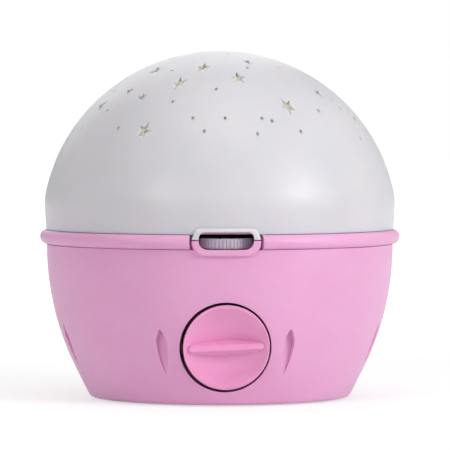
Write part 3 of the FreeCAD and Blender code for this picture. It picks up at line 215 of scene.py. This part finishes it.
@dataclass(frozen=True)
class Metal:
    """A plated or rolled metal, with faint streaks of wear in its gloss."""

    name: str
    tone: str
    shade: str
    roughness: float
    streak_mm: float = 0.6

    def material(self) -> bpy.types.Material:
        """Build the finish, or return it where it has been built."""
        known = bpy.data.materials.get(self.name)
        if known:
            return known
        material, tree = blank_material(self.name)
        place = add(tree, "ShaderNodeTexCoord")
        noise = add(tree, "ShaderNodeTexNoise", {"Vector": place.outputs["Object"], "Detail": 4.0,
                                                  "Scale": 1 / (self.streak_mm * MM)})
        gloss = add(tree, "ShaderNodeMapRange", {"Value": noise.outputs["Fac"],
                                                  "To Min": self.roughness - 0.06,
                                                  "To Max": self.roughness + 0.1})
        shader = add(tree, "ShaderNodeBsdfPrincipled", {
            "Base Color": tone_drift(tree, self.tone, self.shade, METAL_DRIFT_MM), "Metallic": 1.0,
            "Roughness": gloss.outputs["Result"]})
        add(tree, "ShaderNodeOutputMaterial", {"Surface": shader.outputs["BSDF"]})
        return material


# Satin ABS: the soft highlight and the even pink of a spark-finished tool
PINK_ABS = Moulded("satin_pink_ABS", "#E6AED4", "#E3AAD0", 0.45, depth_mm=0.6, edge_mm=0.35,
                   shine=0.4)
# Polished ABS on the dial: a wetter gloss that shows the lamps as small soft patches
GLOSS_PINK_ABS = Moulded("polished_pink_ABS", "#EDA5D0", "#EAA2CD", 0.2, grain_depth_mm=0.001, depth_mm=0.6,
                         edge_mm=0.35)
# Semi-gloss ABS: a tighter highlight, light passes a little way into the wall
WHITE_ABS = Moulded("semi_gloss_white_ABS", "#D2D1D6", "#CECED4", 0.38, depth_mm=3.2, edge_mm=0.3,
                    shine=0.34)
# Bare moulded ABS inside the dome: uncoloured resin is creamy and dull
BARE_ABS = Moulded("bare_ABS", "#DBDACE", "#D7D6CA", 0.6, depth_mm=2.6)
# Tinted polypropylene: waxy and half clear, so the ribs glow at their rims
WHEEL_PP = Moulded("lilac_grey_PP", "#C6BFCB", "#BEB6C4", 0.16, 1.49, depth_mm=1.4, edge_mm=0.15)
# High-impact polystyrene for hidden chassis parts: off-white and matt
INNER_PS = Moulded("off_white_PS", "#DAD7C8", "#D5D2C2", 0.55, 1.59, edge_mm=0.2)
# Glass-filled nylon: near black with a dry sheen
DARK_NYLON = Moulded("black_nylon", "#17171A", "#1E1E21", 0.5, 1.53, grain_depth_mm=0.01)
# Thermoplastic rubber: pale, dry and soft at every edge
FOOT_TPE = Moulded("pale_grey_TPE", "#CFCACB", "#C8C3C5", 0.75, 1.5, grain_mm=0.5, grain_depth_mm=0.02,
                   edge_mm=0.4)
# Cast epoxy lenses: tinted and clear
AMBER_EPOXY = Moulded("amber_epoxy", "#F2A22C", "#EE9A22", 0.08, 1.55, grain_depth_mm=0.0, clear=0.55)
GREEN_EPOXY = Moulded("green_epoxy", "#54C964", "#4BBF5C", 0.08, 1.55, grain_depth_mm=0.0, clear=0.55)
BLUE_EPOXY = Moulded("blue_epoxy", "#4A6CE0", "#4262D6", 0.08, 1.55, grain_depth_mm=0.0, clear=0.55)
# Glass and epoxy laminate under solder resist: green with a wet gloss
BOARD_FR4 = Moulded("solder_resist_FR4", "#1E6B3C", "#1A6236", 0.32, 1.55, grain_mm=0.4, grain_depth_mm=0.004,
                    coat=0.4)
# Pressed paper pulp: fibrous and quite matt
CONE_PULP = Moulded("pressed_paper_pulp", "#1F1E1E", "#2A2827", 0.9, 1.45, grain_mm=0.35, grain_depth_mm=0.04)
# Sintered strontium ferrite: dark grey ceramic
FERRITE = Moulded("strontium_ferrite", "#38383A", "#313133", 0.5, 1.7, grain_mm=0.4, grain_depth_mm=0.01)
# Extruded soft PVC on the leads
SLEEVE_PVC = Moulded("red_PVC", "#B3262B", "#A81F25", 0.45, 1.53, grain_depth_mm=0.002)
# Shrunk film round each cell: thin and shiny, pale with a blue end band
CELL_SLEEVE = Moulded("pale_PVC_film", "#C9CCD0", "#C2C5CA", 0.22, 1.54, grain_depth_mm=0.0)
CELL_BAND = Moulded("blue_PVC_film", "#3C5FA8", "#38599F", 0.22, 1.54, grain_depth_mm=0.0)
# Zinc plate over steel: bluish and a little cloudy
ZINC_STEEL = Metal("zinc_plated_steel", "#B9BABD", "#ADAFB3", 0.34)
# Cold rolled sheet with a dull tin coat
TINNED_SHEET = Metal("tinned_steel_sheet", "#9DA0A4", "#93969B", 0.42, 1.2)


def lathe(profile: list[tuple[float, float]], steps: int = 40) -> bmesh.types.BMesh:
    """Turn an open profile about Z into a closed, outward-facing skin.

    Args:
        profile: Radius and height of each corner in millimetres, starting and ending on the axis.
        steps: Faces round the turn.

    Returns:
        The turned shape.
    """
    work = bmesh.new()
    corners = [work.verts.new((radius * MM, 0.0, height * MM)) for radius, height in profile]
    edges = [work.edges.new(pair) for pair in zip(corners, corners[1:])]
    bmesh.ops.spin(work, geom=corners + edges, cent=(0.0, 0.0, 0.0), axis=(0.0, 0.0, 1.0), angle=math.tau,
                   steps=steps, use_merge=True, use_duplicate=False)
    bmesh.ops.remove_doubles(work, verts=work.verts, dist=WELD_MM * MM)
    bmesh.ops.recalc_face_normals(work, faces=work.faces)
    return work


def gather(name: str, shapes: list[bmesh.types.BMesh], crease_deg: float = 32.0) -> bpy.types.Object:
    """Join finished shapes into one smooth object at the origin.

    Args:
        name: The object's name.
        shapes: The shapes, which are used up.
        crease_deg: Edges sharper than this stay crisp.

    Returns:
        The object, without a finish.
    """
    whole = bmesh.new()
    crease = math.radians(crease_deg)
    for shape in shapes:
        part = bpy.data.meshes.new("part")
        shape.to_mesh(part)
        shape.free()
        whole.from_mesh(part)
        bpy.data.meshes.remove(part)
    for face in whole.faces:
        face.smooth = True
    for edge in whole.edges:
        edge.smooth = len(edge.link_faces) == 2 and edge.calc_face_angle(0.0) < crease
    mesh = bpy.data.meshes.new(name)
    whole.to_mesh(mesh)
    whole.free()
    obj = bpy.data.objects.new(name, mesh)
    bpy.context.scene.collection.objects.link(obj)
    return obj


def paint(shape: bmesh.types.BMesh, index: int, wanted: Callable[[Vector], bool]) -> None:
    """Give every face whose middle meets a test another material number."""
    for face in shape.faces:
        if wanted(face.calc_center_median()):
            face.material_index = index


def eased_block(size: tuple[float, float, float], centre: tuple[float, float, float],
                ease: float) -> bmesh.types.BMesh:
    """Make a block with rounded edges.

    Args:
        size: Width, depth and height in millimetres.
        centre: Its middle in millimetres.
        ease: Radius of its edges in millimetres.

    Returns:
        The shape.
    """
    work = bmesh.new()
    bmesh.ops.create_cube(work, size=1.0)
    bmesh.ops.scale(work, vec=Vector(size) * MM, verts=work.verts)
    bmesh.ops.translate(work, vec=Vector(centre) * MM, verts=work.verts)
    bmesh.ops.bevel(work, geom=work.edges[:], offset=ease * MM, segments=2, profile=0.5, affect="EDGES",
                    material=-1)
    return work


def shell_normal(point: Vector, lean: Callable[[float], float]) -> Vector:
    """Give the outward direction of a turned shell at a point on it.

    Args:
        point: A point on the shell, in metres.
        lean: Elevation of the surface's direction, in radians, at a height in millimetres.

    Returns:
        The unit direction.
    """
    tilt = lean(point.z / MM)
    flat = Vector((point.x, point.y, 0.0)).normalized()
    return flat * math.cos(tilt) + Vector((0.0, 0.0, math.sin(tilt)))


@dataclass
class Assembly:
    """A group of CAD nodes that are copied, merged, smoothed and dressed together."""

    crease_deg: float = 32.0
    made: list[bpy.types.Object] = field(default_factory=list)

    def keep(self, obj: bpy.types.Object, finish: Moulded | Metal, slot: Slot, body: Body,
             *stands_for: str) -> bpy.types.Object:
        """Give a new piece its finish, the body it rides on and the CAD nodes it stands for.

        Args:
            obj: The piece.
            finish: What it is made of.
            slot: Not used.
            body: What it moves with.
            *stands_for: The CAD nodes that it takes the place of.

        Returns:
            The same piece.
        """
        if not obj.data.materials:
            obj.data.materials.append(finish.material())
        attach(obj, body.value)
        if stands_for:
            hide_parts(*stands_for)
        self.made.append(obj)
        return obj

    def smooth(self, node: str, finish: Moulded | Metal, slot: Slot, body: Body = Body.HOUSING,
               name: str = "") -> bpy.types.Object:
        """Put a merged copy with soft shading in the place of a CAD node.

        Args:
            node: The CAD node.
            finish: What it is made of.
            slot: The record's slot for that finish.
            body: What it moves with.
            name: The copy's name; the node's own with a suffix where it is empty.

        Returns:
            The copy.
        """
        mesh = bpy.data.meshes.new(name or f"{node}_finish")
        work = bmesh.new()
        work.from_mesh(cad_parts[node].data)
        bmesh.ops.remove_doubles(work, verts=work.verts, dist=SEAM_WELD_MM * MM)
        bmesh.ops.dissolve_degenerate(work, dist=SEAM_WELD_MM * MM, edges=work.edges)
        for face in work.faces:
            face.smooth = True
            face.material_index = 0
        crease = math.radians(self.crease_deg)
        for edge in work.edges:
            edge.smooth = len(edge.link_faces) == 2 and edge.calc_face_angle(0.0) < crease
        work.to_mesh(mesh)
        work.free()
        obj = bpy.data.objects.new(mesh.name, mesh)
        bpy.context.scene.collection.objects.link(obj)
        return self.keep(obj, finish, slot, body, node)

    @staticmethod
    def true_normals(obj: bpy.types.Object, lean: Callable[[float], float], near_deg: float = 9.0) -> None:
        """Shade the turned faces of a shell by its real curve, whatever the triangles cut into it.

        Args:
            obj: The shell's copy.
            lean: Elevation of the surface's direction, in radians, at a height in millimetres.
            near_deg: How far a face may lie from the curve and still belong to it.
        """
        mesh = obj.data
        limit = math.cos(math.radians(near_deg))
        normals = [Vector((0.0, 0.0, 0.0))] * len(mesh.loops)
        for face in mesh.polygons:
            wanted = [shell_normal(mesh.vertices[v].co, lean) for v in face.vertices]
            if all(face.normal.dot(w) > limit for w in wanted):
                for loop, direction in zip(face.loop_indices, wanted):
                    normals[loop] = direction
        mesh.normals_split_custom_set(normals)


@dataclass
class DomeShell(Assembly):
    """The white dome with its star holes."""

    ball_r: float = 81.7
    ball_z: float = 77.1
    shoulder_r: float = 30.0
    shoulder_z: float = 88.91
    shoulder_top_z: float = 95.77
    skirt_top_z: float = 87.13
    skirt_lean: float = 3.4
    inside_r: float = 79.35

    def lean(self, height: float) -> float:
        """Return the surface's elevation in radians at a height in millimetres."""
        if height < self.skirt_top_z:
            return -math.radians(self.skirt_lean)
        if height < self.shoulder_top_z:
            return math.asin((height - self.shoulder_z) / self.shoulder_r)
        return math.asin(min(1.0, (height - self.ball_z) / self.ball_r))

    def build(self) -> None:
        """Build the dome, with bare resin on its inner wall."""
        dome = self.smooth("dome_shell", WHITE_ABS, Slot.WHITE, name="pierced_dome")
        self.true_normals(dome, self.lean)
        dome.data.materials.append(BARE_ABS.material())
        centre = Vector((0.0, 0.0, self.ball_z * MM))
        for face in dome.data.polygons:
            spot = face.center - centre
            flat = Vector((face.center.x, face.center.y, 0.0)).length
            inward = face.normal.dot(spot.normalized()) < -0.5
            if inward and flat < self.inside_r * MM:
                face.material_index = 1
        self.smooth("dome_screws", ZINC_STEEL, Slot.STEEL)


@dataclass
class BowlShell(Assembly):
    """The pink bowl and the bead round its seam."""

    belly_r: float = 125.0
    belly_top_z: float = 70.0
    belly_sweep: float = 26.5

    def lean(self, height: float) -> float:
        """Return the surface's elevation in radians at a height in millimetres."""
        if height > self.belly_top_z:
            return 0.0
        angle = math.asin((height - self.belly_top_z) / self.belly_r)
        return max(angle, -math.radians(self.belly_sweep))

    def build(self) -> None:
        """Build the bowl and its bead."""
        bowl = self.smooth("base_bowl", PINK_ABS, Slot.PINK, name="scooped_bowl")
        self.true_normals(bowl, self.lean)
        self.smooth("rim_band", PINK_ABS, Slot.PINK, name="seam_bead")


@dataclass
class FrontDial(Assembly):
    """The dished dial, its shaft and the selector behind it."""

    def build(self) -> None:
        """Build the dial and what it turns."""
        self.smooth("front_dial", GLOSS_PINK_ABS, Slot.PINK, Body.DIAL, name="dished_dial")
        self.smooth("dial_shaft", ZINC_STEEL, Slot.STEEL, Body.DIAL)
        self.smooth("rotary_switch", DARK_NYLON, Slot.DARK)
        self.smooth("switch_nut", ZINC_STEEL, Slot.STEEL)


@dataclass
class Thumbwheel(Assembly):
    """The ribbed wheel in the window, its hood and its potentiometer."""

    axis_y: float = -65.5
    hood_r: float = 15.3
    hood_wall: float = 0.9
    hood_foot_z: float = 68.03
    hood_top_z: float = 78.4
    hood_mouth_y: float = -71.3
    brow: tuple[float, float, float] = (14.0, 1.8, 0.8)

    def hood(self) -> None:
        """Build the dark hood over the wheel that keeps the lamps' light out of the window; its near-black
        finish is also painted shade for the window above the wheel.
        """
        r, wall, foot, top = self.hood_r, self.hood_wall, self.hood_foot_z, self.hood_top_z
        corners = [(0.0, top), (r, top), (r, foot), (r - wall, foot), (r - wall, top - wall),
                   (0.0, top - wall)]
        work = bmesh.new()
        ring = [work.verts.new((x * MM, 0.0, z * MM)) for x, z in corners]
        face = work.faces.new(ring)
        turned = bmesh.ops.spin(work, geom=[face, *face.edges, *ring], cent=(0.0, 0.0, 0.0),
                                axis=(0.0, 0.0, 1.0), angle=math.pi, steps=40, use_merge=False,
                                use_duplicate=False)
        far = next(item for item in turned["geom_last"] if isinstance(item, bmesh.types.BMFace))
        for end in (face, far):
            grown = bmesh.ops.extrude_face_region(work, geom=[end])["geom"]
            bmesh.ops.translate(work, verts=[item for item in grown if isinstance(item, bmesh.types.BMVert)],
                                vec=(0.0, (self.hood_mouth_y - self.axis_y) * MM, 0.0))
            if end.is_valid:
                work.faces.remove(end)
        bmesh.ops.remove_doubles(work, verts=work.verts, dist=WELD_MM * MM)
        middle = [face for face in work.faces if all(abs(vert.co.x) < WELD_MM * MM for vert in face.verts)]
        bmesh.ops.delete(work, geom=middle, context="FACES")
        bmesh.ops.recalc_face_normals(work, faces=work.faces)
        bmesh.ops.translate(work, verts=work.verts, vec=(0.0, self.axis_y * MM, 0.0))
        # The brow's near-black finish is painted shade: it fills the window above the wheel with black.
        brow_y = self.hood_mouth_y - self.brow[1] / 2 + 0.5
        brow = eased_block(self.brow, (0.0, brow_y, top - self.brow[2] / 2 - 0.05), 0.2)
        self.keep(gather("wheel_hood", [work, brow]), DARK_NYLON, Slot.DARK, Body.HOUSING)

    def build(self) -> None:
        """Build the wheel and what it turns."""
        self.smooth("volume_wheel", WHEEL_PP, Slot.WHEEL, Body.WHEEL, name="ribbed_thumbwheel")
        self.smooth("wheel_shaft", ZINC_STEEL, Slot.STEEL, Body.WHEEL)
        self.smooth("wheel_pot", DARK_NYLON, Slot.DARK)
        self.smooth("pot_nut", ZINC_STEEL, Slot.STEEL)
        self.hood()


@dataclass
class LightTray(Assembly):
    """The tray across the seam with the lamps on their pedestal."""

    def build(self) -> None:
        """Build the tray, pedestal, lamp board and the three lamps."""
        self.smooth("light_tray", INNER_PS, Slot.INNER)
        self.smooth("led_pedestal", INNER_PS, Slot.INNER)
        self.smooth("pedestal_screws", ZINC_STEEL, Slot.STEEL)
        self.smooth("led_board", BOARD_FR4, Slot.BOARD)
        self.smooth("led_board_screw", ZINC_STEEL, Slot.STEEL)
        self.smooth("led_amber", AMBER_EPOXY, Slot.AMBER)
        self.smooth("led_green", GREEN_EPOXY, Slot.GREEN)
        self.smooth("led_blue", BLUE_EPOXY, Slot.BLUE)


@dataclass
class Speaker(Assembly):
    """The speaker under the tray's grille."""

    def build(self) -> None:
        """Build the basket, cone, magnet and screws."""
        self.smooth("speaker_frame", TINNED_SHEET, Slot.PRESSED)
        self.smooth("speaker_cone", CONE_PULP, Slot.PAPER)
        self.smooth("speaker_magnet", FERRITE, Slot.FERRITE)
        self.smooth("speaker_screws", ZINC_STEEL, Slot.STEEL)


@dataclass
class Underside(Assembly):
    """The base plate, battery lid, screws and feet."""

    foot_r: float = 4.5
    foot_pitch_r: float = 44.0
    foot_high: float = 1.5
    foot_angles: tuple[int, ...] = (22, 158, 202, 338)

    def feet(self) -> None:
        """Build the four feet, each with two ring grooves in its sole."""
        r, high = self.foot_r, self.foot_high
        shapes = []
        for angle in self.foot_angles:
            shape = lathe([(0, 0.05), (1.0, 0), (1.15, 0.3), (1.6, 0.3), (1.75, 0), (2.6, 0), (2.75, 0.3),
                           (3.2, 0.3), (3.35, 0), (r - 0.3, 0), (r - 0.09, 0.09), (r, 0.3), (r, high),
                           (0, high)], 48)
            turn = math.radians(angle)
            away = Vector((math.cos(turn), math.sin(turn), 0.0)) * self.foot_pitch_r * MM
            bmesh.ops.translate(shape, verts=shape.verts, vec=away)
            shapes.append(shape)
        self.keep(gather("grooved_feet", shapes), FOOT_TPE, Slot.RUBBER, Body.HOUSING, "foot_pads")

    def build(self) -> None:
        """Build the underside."""
        self.smooth("base_plate", PINK_ABS, Slot.PINK)
        self.smooth("base_screws", ZINC_STEEL, Slot.STEEL)
        self.smooth("battery_door", PINK_ABS, Slot.PINK, Body.DOOR)
        self.smooth("door_screw", ZINC_STEEL, Slot.STEEL, Body.DOOR)
        self.feet()


@dataclass
class Supply(Assembly):
    """The cells, contacts, main board and leads."""

    cell_r: float = 7.25
    cell_long: float = 49.2
    band_from: float = 0.7
    nub_r: float = 2.75
    nub_long: float = 1.3
    cell_pitch: float = 15.2
    cell_z: float = 10.35
    box_y: float = 3.0
    box_half: float = 28.5
    plate: float = 0.4
    board_z: float = 25.7
    capacitor_r: float = 3.15
    capacitor_high: float = 7.2
    capacitor_x: tuple[float, float] = (-14.0, -4.0)
    capacitor_y: float = 12.0
    chip: tuple[float, float, float] = (10.0, 6.2, 1.8)
    pin_count: int = 8

    def cells(self) -> None:
        """Build the three cells: a sleeved can, a pressed nub and a bare flat end."""
        shapes = []
        for number in range(3):
            turn = 1 if number % 2 == 0 else -1
            r, long = self.cell_r, self.cell_long
            shape = lathe([(0, 0), (r - 1.9, 0), (r - 1.7, 0.25), (r - 1.0, 0.25), (r - 0.35, 0.1), (r, 0.6),
                           (r, long - 0.9), (r - 0.3, long - 0.35), (r - 1.4, long), (r - 1.6, long - 0.25),
                           (self.nub_r + 0.9, long - 0.25), (self.nub_r + 0.2, long),
                           (self.nub_r, long + 0.15), (self.nub_r, long + self.nub_long - 0.3),
                           (self.nub_r - 0.3, long + self.nub_long), (0, long + self.nub_long)], 64)
            paint(shape, 1, lambda spot: math.hypot(spot.x, spot.y) > (r - 1.5) * MM)
            paint(shape, 2, lambda spot: (math.hypot(spot.x, spot.y) > (r - 0.1) * MM and
                                          spot.z > self.band_from * long * MM))
            start = turn * (self.box_half - self.plate - self.nub_long - long)
            away = Vector((start, self.box_y + (number - 1) * self.cell_pitch, self.cell_z)) * MM
            bmesh.ops.transform(shape, verts=shape.verts, matrix=Matrix.Translation(away) @
                                Matrix.Rotation(math.radians(90.0 * turn), 4, "Y"))
            shapes.append(shape)
        cells = gather("sleeved_cells", shapes)
        for finish in (TINNED_SHEET, CELL_SLEEVE, CELL_BAND):
            cells.data.materials.append(finish.material())
        self.keep(cells, TINNED_SHEET, Slot.PRESSED, Body.HOUSING, "battery_cells")

    def capacitors(self) -> None:
        """Build the two capacitors: a sleeved can with a crimp near its foot and a scored top."""
        shapes = []
        r, high = self.capacitor_r, self.capacitor_high
        for x in self.capacitor_x:
            shape = lathe([(0, 0), (r - 0.3, 0), (r, 0.3), (r, 1.0), (r - 0.3, 1.35), (r, 1.7),
                           (r, high - 0.3), (r - 0.3, high), (r - 0.7, high), (r - 0.8, high - 0.15),
                           (0, high - 0.15)], 48)
            paint(shape, 1, lambda spot: (spot.z > (high - 0.2) * MM and
                                          math.hypot(spot.x, spot.y) < (r - 0.4) * MM))
            place = Vector((x, self.capacitor_y, self.board_z)) * MM
            bmesh.ops.translate(shape, verts=shape.verts, vec=place)
            shapes.append(shape)
        made = gather("sleeved_capacitors", shapes)
        for finish in (DARK_NYLON, ZINC_STEEL):
            made.data.materials.append(finish.material())
        self.keep(made, DARK_NYLON, Slot.DARK, Body.HOUSING, "board_capacitors")

    def control_chip(self) -> None:
        """Build the chip: a moulded body over two rows of bent pins."""
        long, wide, high = self.chip
        middle = (0, self.box_y, self.board_z + high / 2 + 0.1)
        shapes = [eased_block((long, wide - 1.8, high - 0.2), middle, 0.12)]
        pitch = long / self.pin_count
        for side in (-1, 1):
            for number in range(self.pin_count):
                x = (number - (self.pin_count - 1) / 2) * pitch
                y = self.box_y + side * (wide / 2 - 0.65)
                for size, rise in (((0.45, 0.7, 0.2), 1.0), ((0.45, 0.2, 0.9), 0.55)):
                    reach = -0.15 if rise == 1.0 else 0.2
                    shapes.append(eased_block(size, (x, y + side * reach, self.board_z + rise), 0.05))
                shapes.append(eased_block((0.45, 0.5, 0.2), (x, y + side * 0.38, self.board_z + 0.12), 0.05))
        for shape in shapes[1:]:
            paint(shape, 1, lambda spot: True)
        made = gather("pinned_chip", shapes)
        for finish in (DARK_NYLON, ZINC_STEEL):
            made.data.materials.append(finish.material())
        self.keep(made, DARK_NYLON, Slot.DARK, Body.HOUSING, "control_chip")

    def build(self) -> None:
        """Build the electrical parts."""
        self.cells()
        self.capacitors()
        self.control_chip()
        self.smooth("contact_plates", ZINC_STEEL, Slot.STEEL)
        self.smooth("contact_springs", ZINC_STEEL, Slot.STEEL)
        self.smooth("main_board", BOARD_FR4, Slot.BOARD)
        self.smooth("board_screws", ZINC_STEEL, Slot.STEEL)
        self.smooth("board_sockets", INNER_PS, Slot.INNER)
        for lead in ("lamp_lead", "speaker_lead", "switch_lead", "wheel_lead", "battery_lead"):
            self.smooth(lead, SLEEVE_PVC, Slot.SLEEVE)


@dataclass
class Studio:
    """The floor, soft lamps and camera."""

    eye: tuple[float, float, float] = (-0.0687, -1.8727, 0.1417)
    pitch_deg: float = 1.915
    turn_deg: float = 2.174
    lens: float = 326.6
    floor_half: float = 6.0
    floor_drop: float = 0.00005
    near_glow: float = 0.62
    far_glow: float = 1.0
    near_r: float = 0.25
    far_r: float = 1.1
    floor_tone: float = 0.42
    bounce_tone: float = 0.9
    surround: float = 0.38
    aim_z: float = 0.08
    inner_z: float = 0.1
    inner_r: float = 0.012
    inner_watts: float = 0.07
    inner_colour: tuple[float, float, float] = (0.97, 1.0, 0.99)

    def floor(self) -> None:
        """Lay a plain pale floor that a view shows as white with the object's soft shadow."""
        mesh = bpy.data.meshes.new("floor")
        work = bmesh.new()
        bmesh.ops.create_grid(work, x_segments=2, y_segments=2, size=self.floor_half,
                              matrix=Matrix.Translation((0.0, 0.0, -self.floor_drop)))
        work.to_mesh(mesh)
        work.free()
        floor = bpy.data.objects.new("floor", mesh)
        bpy.context.scene.collection.objects.link(floor)
        material, tree = blank_material("pale_floor")
        path = add(tree, "ShaderNodeLightPath")
        either = add(tree, "ShaderNodeMath", {0: path.outputs["Is Camera Ray"],
                                               1: path.outputs["Is Glossy Ray"]}, operation="MAXIMUM")
        seen = add(tree, "ShaderNodeMath", {0: either.outputs[0], 1: path.outputs["Is Transmission Ray"]},
                   operation="MAXIMUM")
        shown = add(tree, "ShaderNodeBsdfDiffuse", {"Color": (self.floor_tone,) * 3 + (1.0,)})
        place = add(tree, "ShaderNodeTexCoord")
        away = add(tree, "ShaderNodeVectorMath", {0: place.outputs["Object"]}, operation="LENGTH")
        level = add(tree, "ShaderNodeMapRange", {"Value": away.outputs["Value"], "From Min": self.near_r,
                                                  "From Max": self.far_r, "To Min": self.near_glow,
                                                  "To Max": self.far_glow}, interpolation_type="SMOOTHSTEP")
        glow = add(tree, "ShaderNodeEmission", {"Color": (1.0, 1.0, 1.0, 1.0),
                                                 "Strength": level.outputs["Result"]})
        both = add(tree, "ShaderNodeAddShader", {0: shown.outputs[0], 1: glow.outputs[0]})
        plain = add(tree, "ShaderNodeBsdfDiffuse", {"Color": (self.bounce_tone,) * 3 + (1.0,)})
        mix = add(tree, "ShaderNodeMixShader", {0: seen.outputs[0], 1: plain.outputs[0], 2: both.outputs[0]})
        add(tree, "ShaderNodeOutputMaterial", {"Surface": mix.outputs[0]})
        mesh.materials.append(material)

    def world(self) -> None:
        """Set a plain surround: white where it is seen, a soft grey where it lights."""
        world = bpy.data.worlds.new("surround")
        world.use_nodes = True
        tree = world.node_tree
        tree.nodes.clear()
        path = add(tree, "ShaderNodeLightPath")
        seen = add(tree, "ShaderNodeMath", {0: path.outputs["Is Camera Ray"],
                                             1: path.outputs["Is Transmission Ray"]}, operation="MAXIMUM")
        level = add(tree, "ShaderNodeMapRange", {"Value": seen.outputs[0], "To Min": self.surround,
                                                  "To Max": 1.0})
        back = add(tree, "ShaderNodeBackground", {"Color": (1.0, 1.0, 1.0, 1.0),
                                                   "Strength": level.outputs["Result"]})
        add(tree, "ShaderNodeOutputWorld", {"Surface": back.outputs[0]})
        bpy.context.scene.world = world

    def lamp(self, name: str, azimuth: float, elevation: float, distance: float, size: float,
             watts: float) -> None:
        """Hang one softbox that faces the object.

        Args:
            name: The lamp's name.
            azimuth: Degrees round from the front, to the right.
            elevation: Degrees above the object.
            distance: Metres from the object.
            size: Width in metres.
            watts: Power.
        """
        turn, rise = math.radians(azimuth), math.radians(elevation)
        way = Vector((math.sin(turn) * math.cos(rise), -math.cos(turn) * math.cos(rise), math.sin(rise)))
        data = bpy.data.lights.new(name, "AREA")
        data.size = size
        data.energy = watts
        light = bpy.data.objects.new(name, data)
        light.matrix_world = Matrix.Translation(Vector((0.0, 0.0, self.aim_z)) + way * distance) @ \
            way.to_track_quat("Z", "Y").to_matrix().to_4x4()
        bpy.context.scene.collection.objects.link(light)

    def inner_lamp(self) -> None:
        """Light the inside of the dome softly, as its own lamps do."""
        data = bpy.data.lights.new("dome_lamp", "POINT")
        data.energy = self.inner_watts
        data.color = self.inner_colour
        data.shadow_soft_size = self.inner_r
        light = bpy.data.objects.new("dome_lamp", data)
        light.location = (0.0, 0.0, self.inner_z)
        bpy.context.scene.collection.objects.link(light)

    def camera(self) -> None:
        """Stand the camera where the photograph was taken."""
        data = bpy.data.cameras.new("camera")
        data.sensor_width = 36.0
        data.lens = self.lens
        data.clip_end = 50.0
        camera = bpy.data.objects.new("camera", data)
        camera.location = self.eye
        camera.rotation_euler = (math.radians(90.0 - self.pitch_deg), 0.0, -math.radians(self.turn_deg))
        bpy.context.scene.collection.objects.link(camera)
        bpy.context.scene.camera = camera

    def build(self) -> None:
        """Build the floor, surround, lamps and camera."""
        self.floor()
        self.world()
        self.lamp("key_right", 52.0, 20.0, 1.5, 0.5, 11.0)
        self.lamp("fill_left", -38.0, 21.0, 1.7, 0.45, 5.0)
        self.lamp("top_soft", 10.0, 75.0, 1.6, 1.1, 7.6)
        self.lamp("back_soft", 190.0, 34.0, 1.6, 1.2, 5.5)
        self.inner_lamp()
        self.camera()
        bpy.context.scene.view_settings.view_transform = "Standard"


def main() -> None:
    """Build every sub-assembly in order and report each piece."""
    logging.basicConfig(level=logging.INFO, format="%(name)s: %(message)s")
    for part in (DomeShell(), BowlShell(), FrontDial(), Thumbwheel(), LightTray(), Speaker(), Underside(),
                 Supply()):
        part.build()
        for piece in part.made:
            LOG.info("%s: %s, %d faces", type(part).__name__, piece.name, len(piece.data.polygons))
    Studio().build()


if __name__ == "__main__":
    main()
